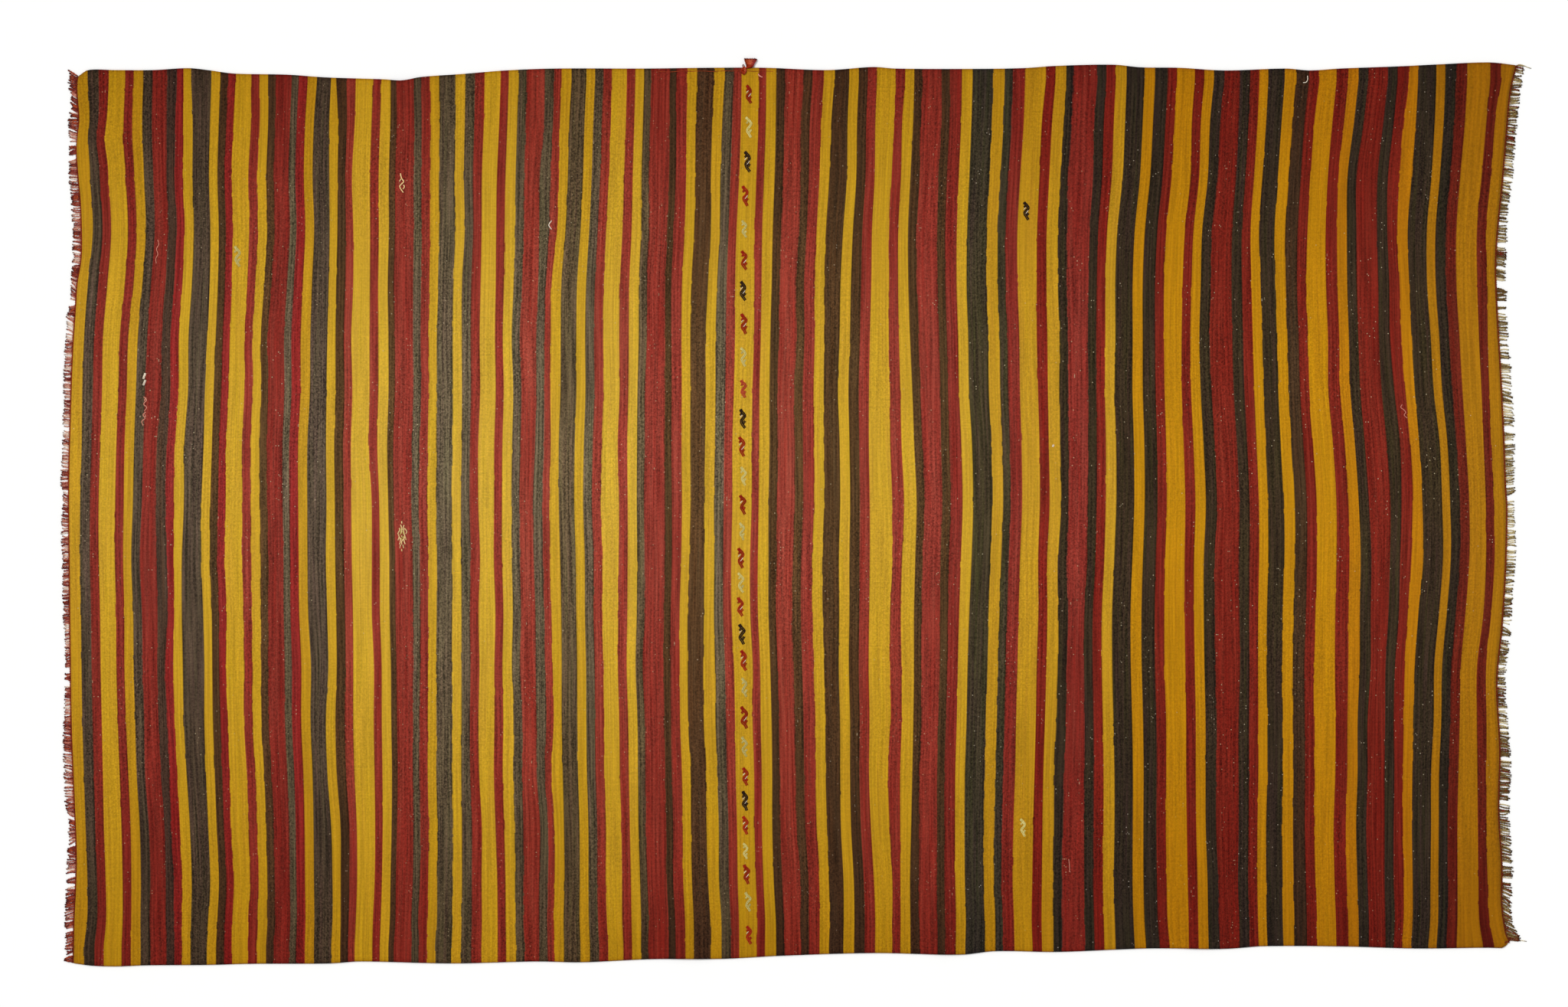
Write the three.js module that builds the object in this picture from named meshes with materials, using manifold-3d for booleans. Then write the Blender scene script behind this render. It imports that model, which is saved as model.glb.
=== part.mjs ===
// A flat-woven striped kilim, laid out on a floor: the woven field, the twined cord and warp
// fringe at each end, and a small wool tassel tied into one selvedge.
// X runs along the warps and Y along the wefts. Z is up, and the kilim rests on Z = 0.
import * as THREE from "three";
import { mergeVertices } from "three/addons/utils/BufferGeometryUtils.js";
import Module from "manifold-3d";

const wasm = await Module();
wasm.setup();

// Driving dimensions in millimetres
const WOVEN_LENGTH = 3050; // from end cord to end cord at half the width
const CLOTH_THICKNESS = 2.6;
const PIECE_GAP = 0.3;
const CORD_WIDTH = 3.2; // the twined end cord, measured across
const CORD_OUTER_HEIGHT = 2.2; // where the warp ends leave it
const LOCKS_PER_ROW = 4; // bunches of warp ends along each row of the field's grid
const LOCK_ROOT_SHARE = 0.66; // how much of its pitch a lock takes up at the cord
const LOCK_MID_SHARE = 0.6;
const LOCK_TIP_SHARE = 0.4;
const LOCK_MID_HEIGHT = 1.9;
const LOCK_TIP_HEIGHT = 1.1;
const LENGTH_STRAY = 0.08; // how unevenly the locks are cut, as a share of their length
const LEAN_STRAY = 0.08; // how unevenly they lie, as a share of their pitch
const TIP_STRAY = 0.3; // how unevenly their tips spread, as a share of the tip's width
const LOOSE_END_WIDTH = 1.8; // a single warp end that hangs out at a corner
const LOOSE_END_HEIGHT = 1.5;
const LOOSE_END_TAPER = 0.7;
const MERGE_DISTANCE = 1e-4; // points this close are one point

// The wool's colours, each the mean of its piece
const FIELD_COLOUR = 0x7d4a26;
const LEFT_FRINGE_COLOUR = 0x9c5048;
const RIGHT_FRINGE_COLOUR = 0x7d7060;
const TASSEL_COLOUR = 0xb0442a;

// The photograph's scale: the pixel columns of the two end cords at half the width
const LEFT_CORD_PX = 90;
const RIGHT_CORD_PX = 1968;
const MM_PER_PX = WOVEN_LENGTH / (RIGHT_CORD_PX - LEFT_CORD_PX);
const MIDDLE_PX = { x: (LEFT_CORD_PX + RIGHT_CORD_PX) / 2, y: 672 };

// The outline, read off the photograph in pixels (x to the right, y down). A station runs along
// the edge, and place is where the edge lies there.
const EDGE_COLUMNS = ["station", "place"];
const TOP_SELVEDGE = table(EDGE_COLUMNS, [
  [103, 99], [115, 91.5], [150, 91.5], [200, 91.5], [246, 89], [275, 92], [305, 96],
  [375, 97.5], [425, 101], [500, 103.5], [525, 105], [550, 100.5], [605, 96.5], [660, 92],
  [725, 89.5], [840, 89.5], [925, 88.5], [1000, 88.5], [1080, 91.5], [1140, 87.5],
  [1170, 89.5], [1260, 90], [1335, 89], [1380, 86], [1455, 84.5], [1490, 88], [1540, 88.5],
  [1600, 92], [1680, 89.5], [1710, 92], [1750, 89.5], [1830, 86.5], [1880, 84], [1945, 81.5],
  [1980, 85],
]);
const BOTTOM_SELVEDGE = table(EDGE_COLUMNS, [
  [96.5, 1258], [120, 1261], [150, 1262], [190, 1260.5], [270, 1260], [330, 1258.5],
  [430, 1258], [470, 1255.5], [590, 1258], [700, 1255.5], [760, 1256.5], [850, 1252.5],
  [945, 1252], [1020, 1248], [1140, 1244.5], [1255, 1246.5], [1300, 1242], [1380, 1243],
  [1500, 1238.5], [1600, 1239], [1650, 1235.5], [1760, 1236], [1850, 1238.5], [1940, 1237.5],
  [1962, 1238],
]);
const LEFT_END = table(EDGE_COLUMNS, [
  [99, 103], [110, 101], [130, 102], [157, 104], [197, 101], [235, 103], [260, 105.5],
  [305, 107.5], [340, 106.5], [370, 101.5], [400, 99.5], [460, 95.5], [550, 92.5],
  [640, 90.5], [760, 91.5], [850, 92.5], [950, 94], [1050, 98], [1115, 100.5], [1160, 99.5],
  [1200, 97.5], [1258, 96.5],
]);
const RIGHT_END = table(EDGE_COLUMNS, [
  [85, 1980], [120, 1972], [180, 1966.5], [240, 1961.5], [300, 1955.5], [345, 1953],
  [400, 1954.5], [470, 1958.5], [560, 1963], [640, 1966], [660, 1967.5], [740, 1966],
  [820, 1961], [890, 1954.5], [980, 1958.5], [1060, 1957], [1130, 1961], [1180, 1961],
  [1220, 1966.5], [1230, 1970.5], [1235, 1967.5], [1238, 1962],
]);

// The field's grid: shares of its length and width, with close lines at the worn corners
const MAIN_COLUMNS = 44;
const MAIN_ROWS = 32;
const LEFT_CORNER_SHARE = 0.0065;
const RIGHT_CORNER_SHARE = 0.993;
const BOTTOM_CORNER_SHARES = [0.0035, 0.0075];
const COLUMN_SHARES = [0, LEFT_CORNER_SHARE];
for (let i = 1; i < MAIN_COLUMNS; i++) {
  COLUMN_SHARES.push(i / MAIN_COLUMNS);
}
COLUMN_SHARES.push(RIGHT_CORNER_SHARE, 1);
const ROW_SHARES = [0, ...BOTTOM_CORNER_SHARES];
const FIRST_MAIN_SHARE = BOTTOM_CORNER_SHARES[1];
const MAIN_ROW_SHARE = (1 - FIRST_MAIN_SHARE) / MAIN_ROWS;
for (let i = 1; i <= MAIN_ROWS; i++) {
  ROW_SHARES.push(FIRST_MAIN_SHARE + MAIN_ROW_SHARE * i);
}
const LOCK_PITCH_SHARE = MAIN_ROW_SHARE / LOCKS_PER_ROW;

// The cockles that keep the cloth from lying quite flat: each is a soft ridge from one photograph
// point to another, with its height and its reach to either side in millimetres.
const COCKLES = table(["x0", "y0", "x1", "y1", "height", "reach"], [
  [836, 1006, 967, 921, 4, 64],
  [700, 1012, 836, 1004, 1.8, 70],
  [1195, 892, 1319, 872, 3, 58],
  [1371, 784, 1476, 718, 3, 62],
  [1580, 712, 1900, 706, 2.2, 66],
  [330, 992, 395, 976, 1.6, 60],
  [524, 104, 516, 185, 2.4, 60],
  [100, 186, 165, 192, 2.2, 56],
  [106, 300, 180, 290, 2.4, 60],
  [903, 1254, 898, 1172, 2.4, 62],
  [1236, 1248, 1242, 1176, 2.2, 62],
  [1568, 1238, 1560, 1186, 1.8, 58],
  [1500, 86, 1492, 160, 2, 60],
]);

// The warp fringe, read off the photograph in pixels: at a height y down the end, how far the warp
// ends reach past the cord, and how far their tips lean down the picture.
const FRINGE_COLUMNS = ["y", "length", "lean"];
const LEFT_FRINGE = table(FRINGE_COLUMNS, [
  [99, 15, -7], [104, 14, -6], [112, 9, -1], [126, 8, -4], [145, 9, -4], [156, 13.5, -1], [178, 11, -4],
  [193, 9, 2], [230, 11.5, 0], [265, 11.5, 0], [325, 12, -1], [352, 10, -1], [370, 8.5, -5],
  [390, 8, -2], [405, 10, 0], [422, 11, -5], [455, 11, 0], [500, 11.5, -1], [545, 11, -1],
  [590, 10.5, -2], [630, 11.5, 0], [655, 9, -3], [690, 11, 0], [760, 10, 1], [805, 9.5, 0],
  [830, 8, 1], [885, 8, 1], [940, 11, 0], [1000, 12.5, -2], [1050, 12, 0], [1070, 9, -3],
  [1100, 11, 4], [1120, 12, 0], [1160, 12.5, 3], [1205, 11, 3], [1235, 10, 3], [1254, 11, 0],
]);
const RIGHT_FRINGE = table(FRINGE_COLUMNS, [
  [85, 11, 2], [108, 12.5, 1.5], [140, 13, 0], [185, 12, 2], [230, 12.5, 2], [275, 11, 1.5],
  [320, 13, 1], [365, 12, 2], [380, 13, 0], [410, 12, 0], [455, 13, 1], [500, 14, 2],
  [510, 13, 4], [545, 14, 1], [590, 13, 0], [630, 12, -1], [645, 12, -4], [660, 10, 0],
  [700, 12, 0], [760, 11.5, 1], [800, 11, 0], [822, 11.5, 3], [880, 11, 0], [940, 12, 2],
  [1000, 14, 2], [1060, 13.5, 1], [1110, 14, 4], [1145, 14, 0], [1170, 12.5, 5], [1200, 13, 6],
  [1213, 14.5, 6], [1224, 16, 1],
]);

// The two long loose warp ends of the right end: a root on the cord and a tip, in pixels
const LOOSE_ENDS = table(["rootY", "tipX", "tipY"], [
  [86.5, 2000, 89],
  [1227.5, 1994, 1229.5],
]);

// The tassel, tied into the top selvedge: places in pixels, sizes in millimetres
const KNOT_PX = { x: 972.3, y: 92.5 };
const KNOT_SIZE = { x: 11, y: 13, z: 4.6 };
const HEAD_PX = { x: 979, y: 86 };
const HEAD_SIZE = { x: 13, y: 6.5, z: 4 };
const TASSEL_STRANDS = 12;
const STRAND_ROOT_WIDTH = 1.1;
const STRAND_TIP_WIDTH = 1.7;
const STRAND_ROOT_HEIGHT = 2;
const STRAND_TIP_HEIGHT = 1.2;
const FAN_TIPS_PX = { left: 972.6, right: 988.4, y: 77 };
const FAN_ROOTS_PX = { left: 976, right: 982, y: 85.2 };
const STRAND_STRAY = 0.9; // how unevenly the tassel's strands are cut
const TIE_RADIUS = 1.5; // the yarn that runs from the knot over the selvedge to the head
const TIE_ARCH = 0.6; // how far it stands off the cloth
const TIE_OVER_EDGE = { inside: 1, outside: 2 }; // where it crosses the selvedge
const BALL_SIDES = 10;
const BALL_RINGS = 6;

// One object for each row of a table, with the columns' names as keys.
function table(columns, rows) {
  return rows.map((row) => Object.fromEntries(columns.map((name, i) => [name, row[i]])));
}

// A photograph point as a point of the kilim, in millimetres from the middle.
function onKilim(px, py) {
  return {
    x: (px - MIDDLE_PX.x) * MM_PER_PX,
    y: (MIDDLE_PX.y - py) * MM_PER_PX,
  };
}

// A smooth curve through a table's rows, as a function of the key column.
function through(rows, key, value) {
  const last = rows.length - 1;
  const slope = (i) => {
    const before = rows[Math.max(i - 1, 0)];
    const after = rows[Math.min(i + 1, last)];
    return (after[value] - before[value]) / (after[key] - before[key]);
  };
  return (at) => {
    let i = 0;
    while (i < last - 1 && at > rows[i + 1][key]) {
      i++;
    }
    const span = rows[i + 1][key] - rows[i][key];
    const t = Math.min(Math.max((at - rows[i][key]) / span, 0), 1);
    const t2 = t * t;
    const t3 = t2 * t;
    return (
      (2 * t3 - 3 * t2 + 1) * rows[i][value] +
      (t3 - 2 * t2 + t) * span * slope(i) +
      (3 * t2 - 2 * t3) * rows[i + 1][value] +
      (t3 - t2) * span * slope(i + 1)
    );
  };
}

// A number from -1 to 1 that is different for each index and the same on each run.
function uneven(index, kind) {
  const wave = Math.sin(index * 12.9898 + kind * 78.233) * 43758.5453;
  return 2 * (wave - Math.floor(wave)) - 1;
}

function mix(a, b, t) {
  return a + (b - a) * t;
}

const topSelvedge = through(TOP_SELVEDGE, "station", "place");
const bottomSelvedge = through(BOTTOM_SELVEDGE, "station", "place");
const leftEnd = through(LEFT_END, "station", "place");
const rightEnd = through(RIGHT_END, "station", "place");

// The four corners, as photograph points
const CORNERS = {
  topLeft: { x: TOP_SELVEDGE[0].station, y: TOP_SELVEDGE[0].place },
  topRight: { x: TOP_SELVEDGE.at(-1).station, y: TOP_SELVEDGE.at(-1).place },
  bottomLeft: { x: BOTTOM_SELVEDGE[0].station, y: BOTTOM_SELVEDGE[0].place },
  bottomRight: { x: BOTTOM_SELVEDGE.at(-1).station, y: BOTTOM_SELVEDGE.at(-1).place },
};

// The photograph point at a share of the field's length (from the left) and width (from below).
function fieldPoint(along, across) {
  const { topLeft, topRight, bottomLeft, bottomRight } = CORNERS;
  const bottomX = mix(bottomLeft.x, bottomRight.x, along);
  const topX = mix(topLeft.x, topRight.x, along);
  const leftY = mix(bottomLeft.y, topLeft.y, across);
  const rightY = mix(bottomRight.y, topRight.y, across);
  const straightX = mix(bottomX, topX, across);
  const straightY = mix(leftY, rightY, along);
  return {
    x: straightX + mix(leftEnd(leftY), rightEnd(rightY), along)
      - mix(mix(bottomLeft.x, topLeft.x, across), mix(bottomRight.x, topRight.x, across), along),
    y: straightY + mix(bottomSelvedge(bottomX), topSelvedge(topX), across)
      - mix(mix(bottomLeft.y, bottomRight.y, along), mix(topLeft.y, topRight.y, along), across),
  };
}

// How high the cockles lift the cloth off the floor at a point of the kilim.
function lift(x, y) {
  let height = 0;
  for (const cockle of COCKLES) {
    const from = onKilim(cockle.x0, cockle.y0);
    const to = onKilim(cockle.x1, cockle.y1);
    const dx = to.x - from.x;
    const dy = to.y - from.y;
    const share = ((x - from.x) * dx + (y - from.y) * dy) / (dx * dx + dy * dy);
    const t = Math.min(Math.max(share, 0), 1);
    const off = Math.hypot(x - from.x - t * dx, y - from.y - t * dy) / cockle.reach;
    if (off < 1) {
      height += cockle.height * Math.cos((Math.PI / 2) * off) ** 2;
    }
  }
  return height;
}

// A closed geometry from points and triangles.
function meshGeometry(points, triangles) {
  const geometry = new THREE.BufferGeometry();
  geometry.setAttribute("position", new THREE.Float32BufferAttribute(points.flat(), 3));
  geometry.setIndex(triangles.flat());
  geometry.computeVertexNormals();
  return geometry;
}

// A named mesh in matt wool of one colour.
function woolMesh(name, geometry, color) {
  const wool = new THREE.MeshStandardMaterial({ color, roughness: 0.95, metalness: 0 });
  const mesh = new THREE.Mesh(geometry, wool);
  mesh.name = name;
  return mesh;
}

// The two triangles of a four-sided face whose corners are given counter-clockwise.
function quad(a, b, c, d) {
  return [[a, b, c], [a, c, d]];
}

// The woven field: one sheet of even thickness on the cockles, with the outline's four edges.
function woolField() {
  const points = [];
  const triangles = [];
  const columns = COLUMN_SHARES.length;
  const rows = ROW_SHARES.length;
  for (const thickness of [0, CLOTH_THICKNESS]) {
    for (const across of ROW_SHARES) {
      for (const along of COLUMN_SHARES) {
        const pixel = fieldPoint(along, across);
        const { x, y } = onKilim(pixel.x, pixel.y);
        points.push([x, y, lift(x, y) + thickness]);
      }
    }
  }
  const under = (i, j) => j * columns + i;
  const over = (i, j) => columns * rows + under(i, j);
  for (let j = 0; j < rows - 1; j++) {
    for (let i = 0; i < columns - 1; i++) {
      triangles.push(...quad(over(i, j), over(i + 1, j), over(i + 1, j + 1), over(i, j + 1)));
      triangles.push(...quad(under(i, j), under(i, j + 1), under(i + 1, j + 1), under(i + 1, j)));
    }
  }
  const right = columns - 1;
  const top = rows - 1;
  for (let i = 0; i < right; i++) {
    triangles.push(...quad(under(i, 0), under(i + 1, 0), over(i + 1, 0), over(i, 0)));
    triangles.push(...quad(under(i + 1, top), under(i, top), over(i, top), over(i + 1, top)));
  }
  for (let j = 0; j < top; j++) {
    triangles.push(...quad(under(0, j + 1), under(0, j), over(0, j), over(0, j + 1)));
    triangles.push(...quad(under(right, j), under(right, j + 1), over(right, j + 1), over(right, j)));
  }
  return woolMesh("field", meshGeometry(points, triangles), FIELD_COLOUR);
}

// The points of one end of the field, from below upwards, moved clear of it by the piece gap.
function endLine(side, firstRow) {
  const along = side < 0 ? 0 : 1;
  return ROW_SHARES.slice(firstRow).map((across) => {
    const pixel = fieldPoint(along, across);
    const { x, y } = onKilim(pixel.x, pixel.y);
    return { x: x + side * PIECE_GAP, y, pixelY: pixel.y, across };
  });
}

// Where the cord changes, as { x, y, lock } from below upwards. A station with a lock is where
// that lock's root starts, and the next station is where the root ends.
function cordStations(side, line, fringe) {
  const lengthAt = through(fringe, "y", "length");
  const leanAt = through(fringe, "y", "lean");
  const stations = [];
  let index = 0;
  for (let row = 0; row < line.length - 1; row++) {
    const low = line[row];
    const high = line[row + 1];
    stations.push({ x: low.x, y: low.y });
    const locks = Math.round((high.across - low.across) / LOCK_PITCH_SHARE);
    const pitch = (high.y - low.y) / locks;
    for (let k = 0; k < locks; k++) {
      const middle = (k + 0.5) / locks;
      const start = middle - LOCK_ROOT_SHARE / 2 / locks;
      const end = middle + LOCK_ROOT_SHARE / 2 / locks;
      const pixelY = mix(low.pixelY, high.pixelY, middle);
      const length = lengthAt(pixelY) * MM_PER_PX * (1 + LENGTH_STRAY * uneven(index, 1));
      const lean = -leanAt(pixelY) * MM_PER_PX + LEAN_STRAY * pitch * uneven(index, 2);
      const lock = {
        reach: side * (length - CORD_WIDTH),
        lean,
        middle: mix(low.y, high.y, middle),
        midHalf: (pitch * LOCK_MID_SHARE) / 2,
        tipHalf: (pitch * LOCK_TIP_SHARE * (1 + TIP_STRAY * uneven(index, 3))) / 2,
      };
      stations.push({ x: mix(low.x, high.x, start), y: mix(low.y, high.y, start), lock });
      stations.push({ x: mix(low.x, high.x, end), y: mix(low.y, high.y, end) });
      index++;
    }
  }
  const last = line.at(-1);
  stations.push({ x: last.x, y: last.y });
  return stations;
}

// A twined end cord with its locks of warp ends, as one solid that lies level on the floor.
// side is -1 at the left end of the field and 1 at the right end.
function fringedCord(side, firstRow, fringe) {
  const stations = cordStations(side, endLine(side, firstRow), fringe);
  const points = [];
  const triangles = [];
  // Faces are listed for the right end, and the left end is its mirror image.
  const face = (a, b, c, d) => triangles.push(...(side > 0 ? quad(a, b, c, d) : quad(d, c, b, a)));
  for (const { x, y } of stations) {
    const outer = x + side * CORD_WIDTH;
    points.push([x, y, 0], [x, y, CLOTH_THICKNESS]);
    points.push([outer, y, CORD_OUTER_HEIGHT], [outer, y, 0]);
  }
  const lastStation = stations.length - 1;
  face(0, 3, 2, 1);
  const end = 4 * lastStation;
  face(end, end + 1, end + 2, end + 3);
  for (let i = 0; i < lastStation; i++) {
    const near = 4 * i;
    const far = near + 4;
    face(near, far, far + 3, near + 3);
    face(near + 1, near + 2, far + 2, far + 1);
    face(near, near + 1, far + 1, far);
    const { lock } = stations[i];
    if (!lock) {
      face(near + 3, far + 3, far + 2, near + 2);
      continue;
    }
    const rootX = (stations[i].x + stations[i + 1].x) / 2 + side * CORD_WIDTH;
    let ring = [near + 3, far + 3, far + 2, near + 2];
    const sections = [
      { share: 0.5, half: lock.midHalf, height: LOCK_MID_HEIGHT },
      { share: 1, half: lock.tipHalf, height: LOCK_TIP_HEIGHT },
    ];
    for (const { share, half, height } of sections) {
      const x = rootX + lock.reach * share;
      const y = lock.middle + lock.lean * share;
      const first = points.length;
      points.push([x, y - half, 0], [x, y + half, 0]);
      points.push([x, y + half, height], [x, y - half, height]);
      for (let k = 0; k < 4; k++) {
        const next = (k + 1) % 4;
        face(ring[k], ring[next], first + next, first + k);
      }
      ring = [first, first + 1, first + 2, first + 3];
    }
    face(...ring);
  }
  return meshGeometry(points, triangles);
}

// A geometry as a manifold solid, and back.
function toManifold(geometry) {
  const bare = geometry.clone();
  bare.deleteAttribute("normal");
  bare.deleteAttribute("uv");
  const merged = mergeVertices(bare, MERGE_DISTANCE);
  return new wasm.Manifold(new wasm.Mesh({
    numProp: 3,
    vertProperties: merged.getAttribute("position").array,
    triVerts: new Uint32Array(merged.getIndex().array),
  }));
}

function fromManifold(solid) {
  const made = solid.getMesh();
  const geometry = new THREE.BufferGeometry();
  geometry.setAttribute("position", new THREE.BufferAttribute(made.vertProperties, 3));
  geometry.setIndex(new THREE.BufferAttribute(made.triVerts, 1));
  geometry.computeVertexNormals();
  return geometry;
}

// A four-sided strand that lies on the floor and runs towards +Y, from one cross-section
// { x, y, width, height } to another.
function strand(root, tip) {
  const points = [];
  const triangles = [];
  for (const { x, y, width, height } of [root, tip]) {
    const half = width / 2;
    points.push([x + half, y, 0], [x - half, y, 0], [x - half, y, height], [x + half, y, height]);
  }
  for (let k = 0; k < 4; k++) {
    const next = (k + 1) % 4;
    triangles.push(...quad(k, next, 4 + next, 4 + k));
  }
  triangles.push(...quad(3, 2, 1, 0), ...quad(4, 5, 6, 7));
  return meshGeometry(points, triangles);
}

// The right cord also carries the two long loose warp ends.
function withLooseEnds(cord) {
  let solid = toManifold(cord);
  for (const { rootY, tipX, tipY } of LOOSE_ENDS) {
    const root = onKilim(rightEnd(rootY), rootY);
    const tip = onKilim(tipX, tipY);
    const x = root.x + PIECE_GAP + CORD_WIDTH / 2;
    const run = new THREE.Vector2(tip.x - x, tip.y - root.y);
    const width = LOOSE_END_WIDTH;
    const height = LOOSE_END_HEIGHT;
    const thread = strand(
      { x: 0, y: 0, width, height },
      { x: 0, y: run.length(), width: width * LOOSE_END_TAPER, height: height * LOOSE_END_TAPER },
    );
    thread.rotateZ(run.angle() - Math.PI / 2);
    thread.translate(x, root.y, 0);
    solid = solid.add(toManifold(thread));
  }
  return solid;
}

// A squashed ball of given overall size whose lowest point is at floor.
function lump(size, at, floor) {
  const ball = new THREE.SphereGeometry(0.5, BALL_SIDES, BALL_RINGS);
  ball.rotateX(Math.PI / 2);
  ball.scale(size.x, size.y, size.z);
  ball.translate(at.x, at.y, floor + size.z / 2);
  return ball;
}

// The tassel: a knot on top of the cloth, a tie over the selvedge, and a head on the floor with
// the strands fanned out from it.
function woolTassel() {
  const overCloth = CLOTH_THICKNESS + PIECE_GAP;
  const knotAt = onKilim(KNOT_PX.x, KNOT_PX.y);
  const headAt = onKilim(HEAD_PX.x, HEAD_PX.y);
  let solid = toManifold(lump(KNOT_SIZE, knotAt, overCloth));
  solid = solid.add(toManifold(lump(HEAD_SIZE, headAt, 0)));
  const edgeY = onKilim(0, topSelvedge((KNOT_PX.x + HEAD_PX.x) / 2)).y;
  const tieHigh = overCloth + TIE_RADIUS;
  const { inside, outside } = TIE_OVER_EDGE;
  const tiePath = new THREE.CatmullRomCurve3([
    new THREE.Vector3(knotAt.x, knotAt.y, tieHigh + TIE_ARCH),
    new THREE.Vector3(mix(knotAt.x, headAt.x, 0.6), edgeY - inside, tieHigh + TIE_ARCH),
    new THREE.Vector3(mix(knotAt.x, headAt.x, 0.85), edgeY + outside, tieHigh),
    new THREE.Vector3(headAt.x, headAt.y, HEAD_SIZE.z / 2),
  ]);
  const tie = new THREE.ExtrudeGeometry(
    new THREE.Shape().absarc(0, 0, TIE_RADIUS, 0, 2 * Math.PI),
    { curveSegments: 3, steps: 6, bevelEnabled: false, extrudePath: tiePath },
  );
  solid = solid.add(toManifold(tie));
  for (let i = 0; i < TASSEL_STRANDS; i++) {
    const share = i / (TASSEL_STRANDS - 1);
    const root = onKilim(mix(FAN_ROOTS_PX.left, FAN_ROOTS_PX.right, share), FAN_ROOTS_PX.y);
    const tip = onKilim(mix(FAN_TIPS_PX.left, FAN_TIPS_PX.right, share), FAN_TIPS_PX.y);
    const cut = STRAND_STRAY * uneven(i, 4);
    solid = solid.add(toManifold(strand(
      { x: root.x, y: root.y, width: STRAND_ROOT_WIDTH, height: STRAND_ROOT_HEIGHT },
      { x: tip.x, y: tip.y + cut, width: STRAND_TIP_WIDTH, height: STRAND_TIP_HEIGHT },
    )));
  }
  return woolMesh("tassel", fromManifold(solid), TASSEL_COLOUR);
}

function leftFringe() {
  return woolMesh("fringe_left", fringedCord(-1, 0, LEFT_FRINGE), LEFT_FRINGE_COLOUR);
}

function rightFringe() {
  const cord = fringedCord(1, BOTTOM_CORNER_SHARES.length, RIGHT_FRINGE);
  return woolMesh("fringe_right", fromManifold(withLooseEnds(cord)), RIGHT_FRINGE_COLOUR);
}

// The kilim, moved so that the middle of its whole reach is over the origin
const kilim = new THREE.Group();
kilim.add(woolField(), leftFringe(), rightFringe(), woolTassel());
const reach = new THREE.Box3().setFromObject(kilim);
const middle = reach.getCenter(new THREE.Vector3());
for (const piece of kilim.children) {
  piece.position.set(-middle.x, -middle.y, -reach.min.z);
}

export default kilim;
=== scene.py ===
# The looks of the striped kilim: a flat-woven field, twined end cords, warp fringes and a tassel.
# Places are charted on the photograph in its pixels (x to the right, y down) and turned into the
# frame's metres by one scale. Lengths are in metres unless their name ends in px.
import math

import bpy
import numpy as np
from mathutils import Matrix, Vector


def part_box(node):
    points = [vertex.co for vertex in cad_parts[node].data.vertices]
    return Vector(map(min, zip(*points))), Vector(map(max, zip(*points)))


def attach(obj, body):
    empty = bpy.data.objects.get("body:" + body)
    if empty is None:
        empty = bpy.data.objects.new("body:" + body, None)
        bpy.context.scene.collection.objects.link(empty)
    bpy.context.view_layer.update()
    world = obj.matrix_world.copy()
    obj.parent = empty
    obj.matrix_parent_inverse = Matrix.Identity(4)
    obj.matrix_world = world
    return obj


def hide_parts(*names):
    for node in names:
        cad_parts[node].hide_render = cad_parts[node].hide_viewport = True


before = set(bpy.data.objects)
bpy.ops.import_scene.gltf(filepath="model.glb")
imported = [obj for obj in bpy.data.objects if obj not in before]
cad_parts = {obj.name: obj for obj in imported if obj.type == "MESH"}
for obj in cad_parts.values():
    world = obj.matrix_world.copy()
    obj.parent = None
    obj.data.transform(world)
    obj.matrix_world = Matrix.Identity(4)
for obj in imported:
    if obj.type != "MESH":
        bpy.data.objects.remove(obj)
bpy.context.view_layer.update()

# The photograph's scale
IMAGE_WIDTH_PX = 2048
IMAGE_HEIGHT_PX = 1315
LEFT_CORD_PX = 90
RIGHT_CORD_PX = 1968
WOVEN_LENGTH = 3.05
METRES_PER_PX = WOVEN_LENGTH / (RIGHT_CORD_PX - LEFT_CORD_PX)
MIDDLE_PX = (1029, 672)
CLOTH_WIDTH_PX = 1160

# The outline: where each edge lies at stations along it
TOP_SELVEDGE = [
    (103, 99), (115, 91.5), (150, 91.5), (200, 91.5), (246, 89), (275, 92), (305, 96),
    (375, 97.5), (425, 101), (500, 103.5), (525, 105), (550, 100.5), (605, 96.5), (660, 92),
    (725, 89.5), (840, 89.5), (925, 88.5), (1000, 88.5), (1080, 91.5), (1140, 87.5),
    (1170, 89.5), (1260, 90), (1335, 89), (1380, 86), (1455, 84.5), (1490, 88), (1540, 88.5),
    (1600, 92), (1680, 89.5), (1710, 92), (1750, 89.5), (1830, 86.5), (1880, 84), (1945, 81.5),
    (1980, 85),
]
BOTTOM_SELVEDGE = [
    (96.5, 1258), (120, 1261), (150, 1262), (190, 1260.5), (270, 1260), (330, 1258.5),
    (430, 1258), (470, 1255.5), (590, 1258), (700, 1255.5), (760, 1256.5), (850, 1252.5),
    (945, 1252), (1020, 1248), (1140, 1244.5), (1255, 1246.5), (1300, 1242), (1380, 1243),
    (1500, 1238.5), (1600, 1239), (1650, 1235.5), (1760, 1236), (1850, 1238.5), (1940, 1237.5),
    (1962, 1238),
]
LEFT_END = [
    (99, 103), (110, 101), (130, 102), (157, 104), (197, 101), (235, 103), (260, 105.5),
    (305, 107.5), (340, 106.5), (370, 101.5), (400, 99.5), (460, 95.5), (550, 92.5),
    (640, 90.5), (760, 91.5), (850, 92.5), (950, 94), (1050, 98), (1115, 100.5), (1160, 99.5),
    (1200, 97.5), (1258, 96.5),
]
RIGHT_END = [
    (85, 1980), (120, 1972), (180, 1966.5), (240, 1961.5), (300, 1955.5), (345, 1953),
    (400, 1954.5), (470, 1958.5), (560, 1963), (640, 1966), (660, 1967.5), (740, 1966),
    (820, 1961), (890, 1954.5), (980, 1958.5), (1060, 1957), (1130, 1961), (1180, 1961),
    (1220, 1966.5), (1230, 1970.5), (1235, 1967.5), (1238, 1962),
]

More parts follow.
